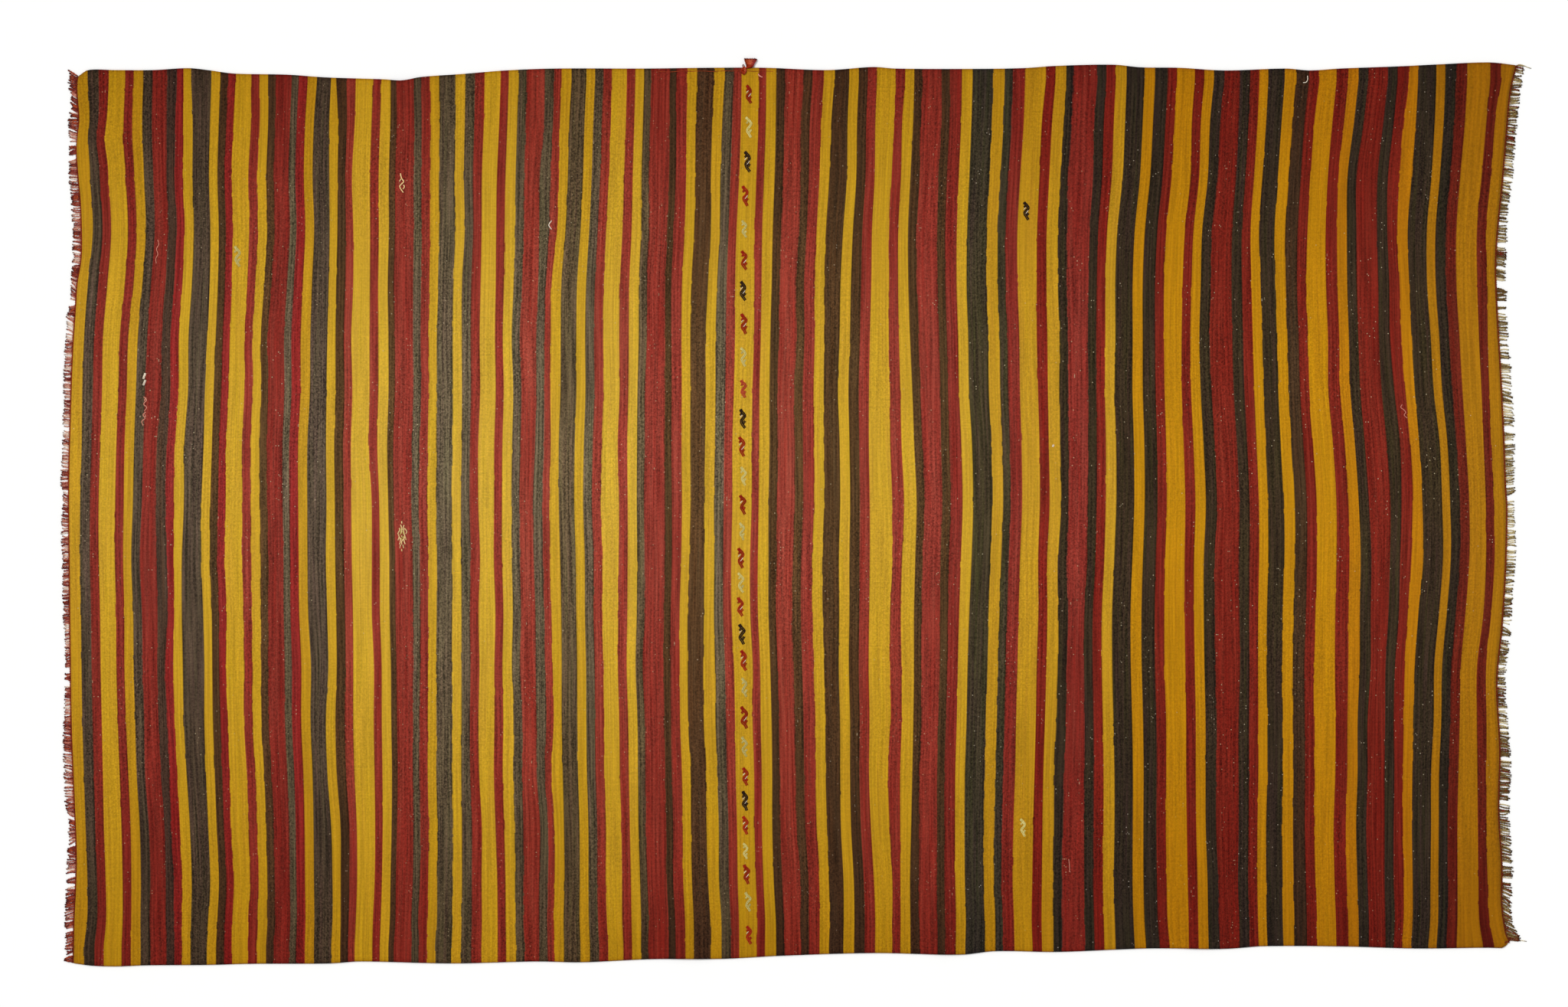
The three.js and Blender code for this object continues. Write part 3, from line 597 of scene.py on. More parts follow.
def field_rows():
    """Shares of the width from the bottom selvedge up, close together along both selvedges."""
    close = np.array(EDGE_ROWS_PX) / CLOTH_WIDTH_PX
    steps = round((CLOTH_WIDTH_PX - 2 * EDGE_ROWS_PX[-1]) / ROW_STEP_PX / 2) * 2
    between = np.linspace(close[-1], 1 - close[-1], steps + 1)[1:-1]
    return np.concatenate([close, between, 1 - close[::-1]])


# Places where the stripes swerve on a cockle: x, y, reach along x and along y, and how far they go
SWERVES_PX = [
    (122, 182, 26, 24, -3.6),
]


def field_grid():
    """Photograph places of the grid's points: rows by columns."""
    stations = field_columns()
    shares = field_rows()
    py = np.linspace(ENDS_BOTTOM_PX, FIRST_TOP_PX, len(shares))[:, None] * np.ones(len(stations))
    for _ in range(GRID_ROUNDS):
        px = stripe_x(stations, py)
        for x, y, reach_x, reach_y, away in SWERVES_PX:
            px = px + away * np.exp(-((stations - x) / reach_x) ** 2 - ((py - y) / reach_y) ** 2)
        low, high = bottom_selvedge(px), top_selvedge(px)
        py = low + (high - low) * shares[:, None]
    return stations, shares, px, py


# The slight waves that a cloth keeps on a floor: across x, across y and phase
UNEVEN_RISE = 0.0005
UNEVEN_WAVES = [
    (7.1, 1.9, 0.3), (-2.3, 8.7, 1.7), (5.2, -6.4, 2.9), (11.3, 4.6, 4.1), (1.4, -12.2, 5.3),
]


def uneven_height(x, y):
    """The slight unevenness of a hand-woven cloth, from 0 to UNEVEN_RISE."""
    wave = np.zeros(np.broadcast(x, y).shape)
    for across_x, across_y, phase in UNEVEN_WAVES:
        wave += np.sin(2 * math.pi * (x * across_x + y * across_y) + phase)
    return UNEVEN_RISE * (0.5 + 0.5 * wave / len(UNEVEN_WAVES))


def cloth_top(x, y):
    """The height of the cloth's upper face at points of the frame."""
    return lift(x, y) + uneven_height(x, y) + CLOTH_THICKNESS


# Painted shade where the light falls off, from 0 in the middle to 1 along the selvedges: the middle
# height and how far it is from there up and down, the top left corner's and the right half's own
# x, reach and share, the stretch of the bottom selvedge with more painted shade, and the painted
# shade along the selvedges' rims
SHADE_MIDDLE_PX = 620
SHADE_ABOVE_PX = 560
SHADE_BELOW_PX = 620
SHADE_LEFT = (260, 100, 0.16)
SHADE_RIGHT = (1250, 500, 0.15)
BOTTOM_SHADE_Y_PX = (1165, 60)
BOTTOM_SHADE_X_PX = (1050, 300, 60)
BOTTOM_SHADE = 0.2
# painted shade: a darker rim along both selvedges
SELVEDGE_SHADE = 1.3
RIM_REACH_PX = 1.7


def rising(value, start, reach):
    """From 0 at the start to 1 at the end of the reach."""
    return np.clip((value - start) / reach, 0, 1)


def falloff_shade(px, py):
    """How much painted shade of the light's falloff lies at places of the photograph."""
    above = np.clip((SHADE_MIDDLE_PX - py) / SHADE_ABOVE_PX, 0, None) ** 2
    below = np.clip((py - SHADE_MIDDLE_PX) / SHADE_BELOW_PX, 0, None) ** 1.5
    left_x, left_reach, left_share = SHADE_LEFT
    right_x, right_reach, right_share = SHADE_RIGHT
    above = above * (1 + left_share * rising(-px, -left_x, left_reach))
    # painted shade along a stretch of the bottom selvedge
    middle_x, half, fade = BOTTOM_SHADE_X_PX
    bottom_shade = rising(py, *BOTTOM_SHADE_Y_PX) * rising(-abs(px - middle_x), -half, fade)
    return (above + below) * (1 - right_share * rising(px, right_x, right_reach)) + BOTTOM_SHADE * bottom_shade


def grid_faces(rows, columns, first, over):
    """The quads of a grid whose points are numbered row by row from first, facing up or down."""
    r, c = np.mgrid[: rows - 1, : columns - 1]
    at = (first + r * columns + c).ravel()
    ring = [at, at + 1, at + columns + 1, at + columns]
    return np.stack(ring if over else [ring[0], *ring[:0:-1]], -1).tolist()


def wall_faces(rows, columns, low_columns):
    """The cloth's four edges: each face joins two steps of the upper grid to one of the lower, so
    the upper grid has an even number of steps both ways."""

    def over(row, column):
        return row * columns + column

    def under(row, column):
        return rows * columns + (row // 2) * low_columns + column // 2

    faces = []
    last_row, last_column = rows - 1, columns - 1
    for c in range(0, last_column, 2):
        low, middle, high = (over(0, c + k) for k in range(3))
        faces.append((under(0, c), under(0, c + 2), high, middle, low))
        low, middle, high = (over(last_row, c + k) for k in range(3))
        faces.append((under(last_row, c + 2), under(last_row, c), low, middle, high))
    for r in range(0, last_row, 2):
        low, middle, high = (over(r + k, 0) for k in range(3))
        faces.append((under(r + 2, 0), under(r, 0), low, middle, high))
        low, middle, high = (over(r + k, last_column) for k in range(3))
        faces.append((under(r, last_column), under(r + 2, last_column), high, middle, low))
    return faces


# How far the cloth keeps back from the right end's cord, over the last stations
RIGHT_CORD_INSET_PX = 0.7
INSET_FROM_PX = 1940
INSET_REACH_PX = 28


def woven_field():
    """The cloth, its upper face fine and its lower face coarse, and the area within its outline."""
    stations, shares, px, py = field_grid()
    inset = RIGHT_CORD_INSET_PX * rising(stations, INSET_FROM_PX, INSET_REACH_PX)
    x = kilim_x(px - inset)
    y = kilim_y(py)
    from_edge_px = np.minimum(shares, 1 - shares) * CLOTH_WIDTH_PX
    rib = sum(part * np.exp(-((from_edge_px - at) / reach) ** 2) for at, reach, part in SELVEDGE_RIBS_PX)
    under = lift(x, y) + uneven_height(x, y)
    over = under + CLOTH_THICKNESS + SELVEDGE_RISE * rib[:, None]
    rows, columns = px.shape
    coarse = (slice(None, None, 2), slice(None, None, 2))
    low_rows, low_columns = px[coarse].shape
    top_points = np.stack([x, y, over], -1).reshape(-1, 3)
    bottom_points = np.stack([x, y, under], -1)[coarse].reshape(-1, 3)
    faces = grid_faces(rows, columns, 0, True)
    faces += grid_faces(low_rows, low_columns, len(top_points), False)
    walls_from = len(faces)
    faces += wall_faces(rows, columns, low_columns)
    from_edge = abs(stations[:, None] - BAND_EDGES_PX).min(axis=1)
    layers = {
        "station": np.broadcast_to(stations, px.shape),
        "from_edge": np.broadcast_to(from_edge, px.shape),
        # painted shade: the light's falloff, and a darker rim along both selvedges
        "falloff_shade": falloff_shade(px, py) + SELVEDGE_SHADE * np.exp(-from_edge_px / RIM_REACH_PX)[:, None],
    }
    attributes = {
        key: np.concatenate([layer.ravel(), layer[coarse].ravel()]) for key, layer in layers.items()
    }
    made = made_object("woven_field", np.concatenate([top_points, bottom_points]), faces, attributes)
    made.data.polygons.foreach_set("use_smooth", np.arange(len(faces)) < walls_from)
    outline = np.concatenate([
        np.stack([x[0], y[0]], -1), np.stack([x[:, -1], y[:, -1]], -1),
        np.stack([x[-1], y[-1]], -1)[::-1], np.stack([x[:, 0], y[:, 0]], -1)[::-1],
    ])
    a, b = outline.T
    area = 0.5 * abs(np.dot(a, np.roll(b, -1)) - np.dot(b, np.roll(a, -1)))
    return made, area


# The field's wool: how many bands one ramp holds, the size of a float, how far the yarns drift at
# a band's edge and how wide its rim of painted light and shade is, the darkest shade, how strong
# the rows are and the painted shade where the floats dip, and the lint's size, colour, chance and
# least chance
RAMP_BANDS = 27
FLOAT_WIDTH = 0.0022
FLOAT_HEIGHT = 0.00155
DRIFT_PX = 1.3
RIM_PX = 1.7
DARKEST = -0.66
ROWS = 0.035
DIP_SHADE = 0.22
CROWN_MEAN = 0.405
LINT_SIZE = 0.0028
LINT_COLOUR = (222, 204, 166)
LINT = 0.06
LINT_LEAST = 0.0006
WEAVE_BUMP = 0.0005
# Its noises: grains in a metre along X, Y and Z, detail and roughness
FIELD_NOISES = {
    "wobble": ((7, 9, 7), 1),
    "drift": ((14, 22, 12), 1),
    "hairs": ((260, 190, 60), 1, 0.6),
    "patches": ((6, 2.5, 6), 1),
    "streaks": ((230, 5, 1), 2, 0.55),
    "ladder": ((120, 8, 1), 1, 0.5),
    "rows": ((16, 330, 10), 1),
    "tint": ((170, 4, 1), 2, 0.5),
    "lint": ((60, 12, 1), 2, 0.6),
}


def band_colours(s, middle):
    """The colour of the band at a station, and the mark of its kind of wool, by several ramps."""
    colour, kind = None, None
    for start in range(0, len(BAND_YARNS), RAMP_BANDS):
        stop = min(start + RAMP_BANDS, len(BAND_YARNS))
        low, high = BAND_EDGES_PX[start], BAND_EDGES_PX[stop]
        stops = []
        for i in range(start, stop):
            rgb, wool = YARNS[BAND_YARNS[i]]
            stops.append(((BAND_EDGES_PX[i] - low) / (high - low), paint(rgb, WOOLS[wool][0])))
        band, mark = s.ramp(s.spread(middle, low, high), stops, "CONSTANT")
        if colour is None:
            colour, kind = band, mark
            continue
        beyond = s.math("GREATER_THAN", middle, low)
        colour = s.mix(beyond, colour, band)
        kind = s.math("MULTIPLY_ADD", beyond, s.math("SUBTRACT", mark, kind), kind)
    return colour, kind


def lint(s, chart, linty):
    """How much pale lint is caught in the wool: small round specks, more of them in patches."""
    at = s.vectors("MULTIPLY", chart, (1 / LINT_SIZE, 1 / LINT_SIZE, 0))
    caught = s.cells(s.vectors("FLOOR", at))
    off_centre = s.vectors("DISTANCE", s.vectors("FRACTION", at), (0.5, 0.5, 0))
    patches = s.spread(s.noise(*FIELD_NOISES["lint"], chart), 0.5, 0.72)
    chance = s.math("MULTIPLY_ADD", s.math("MULTIPLY", patches, linty), -LINT, 1 - LINT_LEAST)
    speck = s.math("GREATER_THAN", caught[1], chance)
    speck = s.math("MULTIPLY", speck, s.spread(off_centre, 0.2, 0.45, 1, 0))
    return s.math("MULTIPLY", speck, s.math("MULTIPLY_ADD", caught[0], 0.6, 0.35))


def field_material():
    """Weft-faced wool: floats of striped yarn over the warps, with streaks, mottle, lint and painted shade
    towards the selvedges.
    """
    s = Shader("field_wool")
    station = s.attribute("station")
    across = s.node("ShaderNodeSeparateXYZ")
    s.link(s.place(), across.inputs[0])
    along_x = s.math("MULTIPLY", station, METRES_PER_PX)
    chart = s.vector(along_x, across.outputs["Y"])
    # the floats, one for each place where a weft passes over a warp, half a float over in odd rows
    wobble = s.noise(*FIELD_NOISES["wobble"])
    v = s.math("MULTIPLY_ADD", across.outputs["Y"], 1 / FLOAT_HEIGHT, s.math("MULTIPLY", wobble, 3))
    row = s.math("FLOOR", v)
    odd = s.math("PINGPONG", row, 1)
    u = s.math("MULTIPLY_ADD", along_x, 1 / FLOAT_WIDTH, s.math("MULTIPLY", odd, 0.5))
    column = s.math("FLOOR", u)
    grain = s.cells(s.vector(column, row))
    # the yarn of each float
    middle = s.math("ADD", s.math("MULTIPLY_ADD", odd, -0.5, column), 0.5)
    middle = s.math("MULTIPLY", middle, FLOAT_WIDTH / METRES_PER_PX)
    drift = s.math("SUBTRACT", s.noise(*FIELD_NOISES["drift"]), 0.5)
    middle = s.math("MULTIPLY_ADD", drift, DRIFT_PX, middle)
    colour, kind = band_colours(s, middle)
    strengths, turns, most_shaded = [], [], []
    for mark, strong, linty, turn, rim, deep in WOOLS.values():
        strengths.append((mark - 0.1, (*strong, linty)))
        turns.append((mark - 0.1, (*(0.5 + part for part in turn), 0.5 + rim)))
        most_shaded.append((mark - 0.1, (*deep, 1)))
    strong, linty = s.ramp(kind, strengths, "CONSTANT")
    peppered, streaky, ribbed = s.parts(strong)
    turn, rim_light_and_shade = s.ramp(kind, turns, "CONSTANT")
    # light and dark hairs mixed in the yarn, and long streaks where one spinning follows another
    hairs = s.spread(s.noise(*FIELD_NOISES["hairs"]), 0.3, 0.7, -1, 1)
    pepper = s.math("MULTIPLY_ADD", grain[0], 1.5, -0.75)
    pepper = s.math("MULTIPLY_ADD", hairs, 0.9, pepper)
    patches = s.spread(s.noise(*FIELD_NOISES["patches"]), 0.36, 0.64, 0.6, 1.45)
    shade = s.math("MULTIPLY", s.math("MULTIPLY", pepper, patches), peppered)
    streaks = s.spread(s.noise(*FIELD_NOISES["streaks"], chart), 0.34, 0.66, -1, 1)
    shade = s.math("MULTIPLY_ADD", streaks, streaky, shade)
    # ribs of paired warps, stronger in some stretches, and faint rows across many wefts
    ladder = s.spread(s.noise(*FIELD_NOISES["ladder"], chart), 0.47, 0.6, 0.1, 1.7)
    ribs = s.math("MULTIPLY", s.math("MULTIPLY_ADD", odd, 2, -1), s.math("MULTIPLY", ladder, ribbed))
    shade = s.math("ADD", shade, ribs)
    rows = s.spread(s.noise(*FIELD_NOISES["rows"]), 0.3, 0.7, -1, 1)
    shade = s.math("MULTIPLY_ADD", rows, ROWS, shade)
    # painted shade in the groove along a stripe's outermost wefts, and a painted lighter rim on the yellows
    rim = s.spread(s.attribute("from_edge"), 0, RIM_PX, 1, 0)
    shade = s.math("MULTIPLY_ADD", rim, s.math("SUBTRACT", rim_light_and_shade, 0.5), shade)
    shade = s.math("MAXIMUM", shade, DARKEST)
    # each float is round: painted shade darkens it where it dips, and its roundness also lifts the bump
    du = s.math("COSINE", s.math("MULTIPLY_ADD", s.math("FRACT", u), math.pi, -math.pi / 2))
    dv = s.math("COSINE", s.math("MULTIPLY_ADD", s.math("FRACT", v), math.pi, -math.pi / 2))
    crown = s.math("MULTIPLY", du, dv)
    shade = s.math("MULTIPLY_ADD", s.math("SUBTRACT", crown, CROWN_MEAN), DIP_SHADE, shade)
    colour = s.bright(colour, s.math("ADD", shade, 1))
    tint = s.spread(s.noise(*FIELD_NOISES["tint"], chart), 0.3, 0.7, -1, 1)
    colour = s.tinted(colour, turn, tint)
    colour = s.mix(lint(s, chart, linty), colour, paint(LINT_COLOUR))
    # painted shade: the colour darkens towards the selvedges, where the light falls off
    deep = s.power(s.ramp(kind, most_shaded, "CONSTANT")[0], s.attribute("falloff_shade"))
    colour = s.vectors("MULTIPLY", colour, deep)
    height = s.math("MULTIPLY_ADD", grain[2], 0.35, crown)
    height = s.math("MULTIPLY_ADD", streaks, 0.25, height)
    s.bump(height, WEAVE_BUMP, 0.8)
    return s.finish(colour, WOOL)


# A yarn's plies: how many, how far from its middle they lie sideways and upwards and how thick
# each is, as shares of the yarn, and how much their tones differ
PLIES = 2
PLY_ASIDE = 0.24
PLY_ABOVE = 0.22
PLY_THICK = 0.56
PLY_TONES = 0.08


class Yarn:
    """Collects tubes of yarn into one mesh. Each point has its yarn's tone and its place along."""

    def __init__(self):
        self.points = []
        self.faces = []
        self.tones = []
        self.alongs = []
        self.count = 0

    def tube(self, centres, side, up, width, height, sides, tone, along):
        n = len(centres)
        angles = 2 * math.pi * np.arange(sides) / sides
        ring = (
            side[:, None, :] * (np.cos(angles)[None, :, None] * width[:, None, None] / 2)
            + up[:, None, :] * (np.sin(angles)[None, :, None] * height[:, None, None] / 2)
        )
        self.points.append((centres[:, None, :] + ring).reshape(-1, 3))
        first = self.count
        for i in range(n - 1):
            a = first + i * sides
            for k in range(sides):
                m = (k + 1) % sides
                self.faces.append((a + k, a + sides + k, a + sides + m, a + m))
        self.faces.append(tuple(first + k for k in range(sides)))
        last = first + (n - 1) * sides
        self.faces.append(tuple(last + k for k in reversed(range(sides))))
        self.tones.append(np.repeat(np.broadcast_to(tone, n), sides))
        self.alongs.append(np.repeat(along, sides))
        self.count += n * sides

    def plied(self, path, width, height, pitch, tone, taper=1.0, flare=1.0, sides=5, start=0.0):
        """Plies twisted round each other along a path: pitch is one full turn, taper the width left
        at the end, flare how far the plies part there, and start the share of a turn at the root."""
        steps = np.linalg.norm(np.diff(path, axis=0), axis=1)
        run = np.concatenate([[0], np.cumsum(steps)])
        share = run / run[-1]
        forward = np.gradient(path, axis=0)
        forward /= np.linalg.norm(forward, axis=1)[:, None]
        side = np.cross(forward, (0.0, 0.0, 1.0))
        side /= np.linalg.norm(side, axis=1)[:, None]
        up = np.cross(side, forward)
        loose = 1 + (flare - 1) * share**3
        thin = 1 - (1 - taper) * share**2
        for k in range(PLIES):
            turn = 2 * math.pi * (run / pitch + k / PLIES + start)
            away = (np.cos(turn) * loose)[:, None] * side * width * PLY_ASIDE
            away = away + np.sin(turn)[:, None] * up * height * PLY_ABOVE
            self.tube(
                path + away, side, up, PLY_THICK * width * thin, PLY_THICK * height * thin, sides,
                tone + PLY_TONES * (k - 0.5), share,
            )

    def made(self, name):
        attributes = {"tone": np.concatenate(self.tones), "along": np.concatenate(self.alongs)}
        return made_object(name, np.concatenate(self.points), self.faces, attributes)


def at_heights(px, py, z):
    """Points of the frame over places of the photograph."""
    return np.stack([kilim_x(px), kilim_y(py), z], -1)


def on_cloth(px, py, rise):
    """Points of the frame at a rise over the cloth's upper face."""
    return at_heights(px, py, cloth_top(kilim_x(px), kilim_y(py)) + rise)


# The warp fringes: at a height down each end, the ends' length and how far their tips lean down
LEFT_FRINGE = [
    (99, 14, -6.5), (103, 12, -4), (107, 11, -2.5), (112, 9.5, -2), (118, 10.5, -3), (126, 9.5, -4.5),
    (145, 10.5, -4), (156, 14, -1), (178, 11.5, -4), (193, 10.5, 2), (230, 12, 0), (265, 12, 0),
    (325, 12, -1), (352, 10, -1), (370, 8, -5), (390, 7.5, -2), (405, 9.5, 0), (422, 10.5, -5),
    (455, 10.5, 0), (500, 10.5, -1), (545, 10, -1), (590, 9.5, -2), (630, 10.5, 0), (655, 8.5, -3),
    (690, 10, 0), (760, 9.5, 1), (805, 9, 0), (830, 7.5, 1), (885, 7.5, 1), (940, 10, 0),
    (1000, 12.5, -2), (1050, 12, 0), (1070, 9, -3), (1100, 11, 4), (1120, 12, 0), (1160, 12.5, 3),
    (1205, 12, 3), (1235, 11, 3), (1254, 12, 0),
]
RIGHT_FRINGE = [
    (85, 11, 2), (108, 12.5, 1.5), (140, 13, 0), (185, 12, 2), (230, 12.5, 2), (275, 11, 1.5),
    (320, 13, 1), (365, 12, 2), (380, 13, 0), (410, 12, 0), (455, 13, 1), (500, 14, 2),
    (510, 13, 4), (545, 14, 1), (590, 13, 0), (630, 12, -1), (645, 12, -4), (660, 10, 0),
    (700, 12, 0), (760, 11.5, 1), (800, 11, 0), (822, 11.5, 3), (880, 11, 0), (940, 12, 2),
    (1000, 14, 2), (1060, 13.5, 1), (1110, 14, 4), (1145, 14, 0), (1170, 12.5, 7), (1195, 12, 6),
    (1205, 15, 7), (1213, 17, 8), (1220, 17, 6), (1226, 16, 1),
]
# Gaps between the fringe's bunches: the height of their middle at the cord, and half their width
LEFT_GAPS = [
    (188, 2), (205, 2), (273, 1.5), (395, 2.5), (560, 2), (643, 2), (698, 2), (875, 2.5),
    (893, 2.5), (1070, 2), (1101, 2.5), (1142, 2), (1156, 2), (1214, 2.5), (1246, 2),
]
RIGHT_GAPS = [
    (96, 1.5), (106, 1.5), (233, 1.5), (282, 1.5), (292, 1.5), (320, 2.5), (349, 1.5), (371, 3.5),
    (397, 3), (407, 1.5), (446, 1.5), (455, 1.5), (471, 2), (488, 1.5), (503, 2.5), (560, 3.5),
    (577, 1.5), (635, 2), (651, 3), (690, 1.5), (716, 1.5), (747, 1.5), (755, 1.5), (778, 1.5),
    (807, 1.5), (815, 2), (833, 1.5), (870, 1.5), (882, 1.5), (895, 1.5), (926, 1.5), (937, 1.5),
    (945, 1.5), (953, 1.5), (990, 1.5), (1048, 1.5), (1055, 1.5), (1065, 1.5), (1128, 2.5), (1149, 1.5),
]
# Bunches whose tips run together: from, to, and the height they meet at
LEFT_BUNCHES = [
    (884, 890, 886), (1104, 1116, 1109.5), (1147, 1154, 1151.5), (1157, 1163, 1161), (1247, 1258, 1253.5),
]
RIGHT_BUNCHES = [
    (376, 384, 381), (545, 554, 550), (638, 650, 641), (755, 763, 758), (815, 833, 829),
]
# How the warp ends look down each fringe: 0 where they are dense and dark, with painted shadow, 1 where
# thin and pale, with painted highlights
LEFT_TONES = [
    (98, 0.15), (112, 0.1), (124, 0.4), (132, 0.15), (141, 0.2), (145, 0.6), (151, 0.3), (165, 0.4),
    (173, 0.35), (184, 0.95), (190, 0.15), (198, 0.15), (207, 0.6), (216, 0.3), (225, 0.5),
    (234, 0.6), (240, 0.35), (245, 0.7), (250, 0.2), (262, 0.1), (268, 0.3), (275, 0.7),
    (286, 0.6), (291, 0.15), (297, 0.5), (308, 0.2), (318, 0.4), (326, 0.35), (335, 0.7),
    (344, 0.35), (352, 0.15), (362, 0.35), (373, 0.6), (386, 0.25), (398, 0.5), (402, 0.25),
    (410, 0.2), (416, 0.6), (425, 0.85), (436, 0.7), (441, 0.85), (448, 0.25), (455, 0.4),
    (464, 0.75), (474, 0.3), (482, 0.6), (490, 0.4), (500, 0.4), (515, 0.5), (527, 0.35),
    (540, 0.45), (555, 0.8), (560, 0.9), (572, 0.3), (580, 0.3), (587, 0.9), (592, 0.5),
    (605, 0.4), (622, 0.3), (637, 0.3), (643, 0.8), (650, 0.4), (685, 0.35), (700, 0.75),
    (704, 0.4), (718, 0.45), (750, 0.2), (757, 0.6), (765, 0.4), (771, 0.75), (780, 0.35),
    (800, 0.3), (808, 0.0), (815, 0.8), (828, 0.55), (840, 0.5), (868, 0.3), (875, 0.85),
    (886, 0.05), (893, 0.95), (900, 0.4), (925, 0.85), (934, 0.4), (955, 0.3), (982, 0.3),
    (990, 0.6), (1003, 0.55), (1012, 0.35), (1042, 0.4), (1058, 0.2), (1067, 0.7), (1077, 0.2),
    (1092, 0.4), (1100, 0.7), (1110, 0.15), (1118, 0.2), (1126, 0.5), (1143, 0.5), (1150, 0.15),
    (1156, 0.8), (1163, 0.35), (1178, 0.15), (1187, 0.3), (1193, 0.7), (1200, 0.3), (1206, 0.15),
    (1213, 0.5), (1222, 0.2), (1236, 0.4), (1243, 0.5), (1250, 0.15), (1257, 0.15),
]
RIGHT_TONES = [
    (85, 0.35), (97, 0.5), (104, 0.45), (108, 0.8), (113, 0.3), (130, 0.4), (150, 0.45),
    (170, 0.3), (190, 0.35), (212, 0.7), (222, 0.45), (232, 0.9), (242, 0.4), (260, 0.5),
    (277, 0.4), (288, 0.35), (303, 0.3), (312, 0.6), (321, 0.8), (328, 0.3), (340, 0.3),
    (356, 0.5), (371, 0.8), (380, 0.15), (390, 0.4), (398, 0.9), (404, 0.4), (412, 0.6),
    (430, 0.45), (445, 0.6), (450, 0.45), (456, 0.85), (465, 0.3), (474, 0.6), (489, 0.8),
    (495, 0.4), (503, 0.8), (515, 0.35), (530, 0.75), (541, 0.75), (550, 0.2), (560, 0.85),
    (570, 0.45), (578, 0.7), (585, 0.35), (593, 0.8), (605, 0.5), (622, 0.65), (636, 0.8),
    (644, 0.3), (654, 0.8), (683, 0.75), (693, 0.5), (703, 0.7), (716, 0.9), (742, 0.5),
    (751, 0.8), (759, 0.35), (766, 0.6), (777, 0.5), (802, 0.2), (809, 0.9), (820, 0.15),
    (830, 0.15), (834, 0.8), (838, 0.35), (866, 0.55), (882, 0.65), (890, 0.3), (894, 0.6),
    (899, 0.3), (922, 0.3), (928, 0.7), (934, 0.4), (946, 0.8), (950, 0.35), (954, 0.8),
    (960, 0.25), (984, 0.4), (993, 0.65), (1003, 0.45), (1014, 0.35), (1043, 0.2), (1049, 0.7),
    (1058, 0.2), (1064, 0.75), (1070, 0.2), (1078, 0.3), (1096, 0.5), (1110, 0.35), (1120, 0.3),
    (1128, 0.6), (1143, 0.3), (1149, 0.8), (1155, 0.3), (1170, 0.4), (1195, 0.3), (1210, 0.35),
    (1228, 0.35),
]
LEFT_CHART = (LEFT_FRINGE, LEFT_TONES, LEFT_GAPS, LEFT_BUNCHES)
RIGHT_CHART = (RIGHT_FRINGE, RIGHT_TONES, RIGHT_GAPS, RIGHT_BUNCHES)
# Warp ends that stray out of the fringe, and the reddish tuft at the bottom corner on the right:
# photograph points, width and tone
LEFT_STRAYS = [
    ([(102, 110.5), (96, 109.6), (88, 107.6)], 0.0034, 0.1),
    ([(101.5, 99.5), (95, 96.5), (89.5, 91.5)], 0.0026, 0.5),
]
RIGHT_STRAYS = [
    ([(1981.5, 85.4), (1984.5, 84.3), (1989, 85), (1995, 87.6), (2000, 89.2)], 0.0020, 0.75),
    ([(1971.5, 1227.5), (1978, 1228.3), (1986, 1228.2), (1994, 1229.4)], 0.0020, 0.8),
    ([(1965.6, 1231.4), (1968.6, 1229.6), (1971.6, 1230.8)], 0.0044, 0.0),
    ([(1971, 1226.4), (1977, 1225.2), (1985, 1225.4)], 0.0034, 0.0),
    ([(1971, 1228), (1978, 1227.2), (1985.6, 1228.6)], 0.0034, 0.0),
    ([(1970, 1224.6), (1977, 1223.2), (1984.4, 1222.6)], 0.0030, 0.04),
]

# The end cords: one turn, the steps in a turn, the height and the sides of a ply
CORD_PITCH = 0.0096
CORD_STEPS = 9
CORD_HEIGHT = 0.0030
CORD_SIDES = 6


def end_cord(name, edge, side, centre_px, top_px, bottom_px, width):
    """The two-ply twined cord along one end of the cloth."""
    yarn = Yarn()
    count = int((bottom_px - top_px) * METRES_PER_PX / (CORD_PITCH / CORD_STEPS))
    py = np.linspace(bottom_px, top_px, count)
    px = edge(py) + side * centre_px
    z = CORD_HEIGHT / 2 + lift(kilim_x(px), kilim_y(py))
    # painted shade: the light's falloff dims the cord towards the corners
    tone = 1.1 - falloff_shade(edge(py), py)
    yarn.plied(at_heights(px, py, z), width, CORD_HEIGHT, CORD_PITCH, tone, sides=CORD_SIDES)
    return yarn.made(name)


# The strands: how far their tones scatter, how high they lie over each other, how far their tips
# stray and their middles bow, the ranges of their lengths, heights, widths, flares and steps to
# the next, how thin they end, and the points along one
FRINGE_SPREAD = 0.4
FRINGE_LAYER = 0.0009
TIP_STRAY_PX = 2.0
BOW_PX = 1.2
LENGTHS = (0.88, 1.16)
HEIGHTS = (0.85, 1.1)
WIDTHS = (0.85, 1.12)
FLARES = (1.0, 1.35)
PITCHES = (0.85, 1.15)
STRAND_TAPER = 0.8
STRAND_STEPS = 10


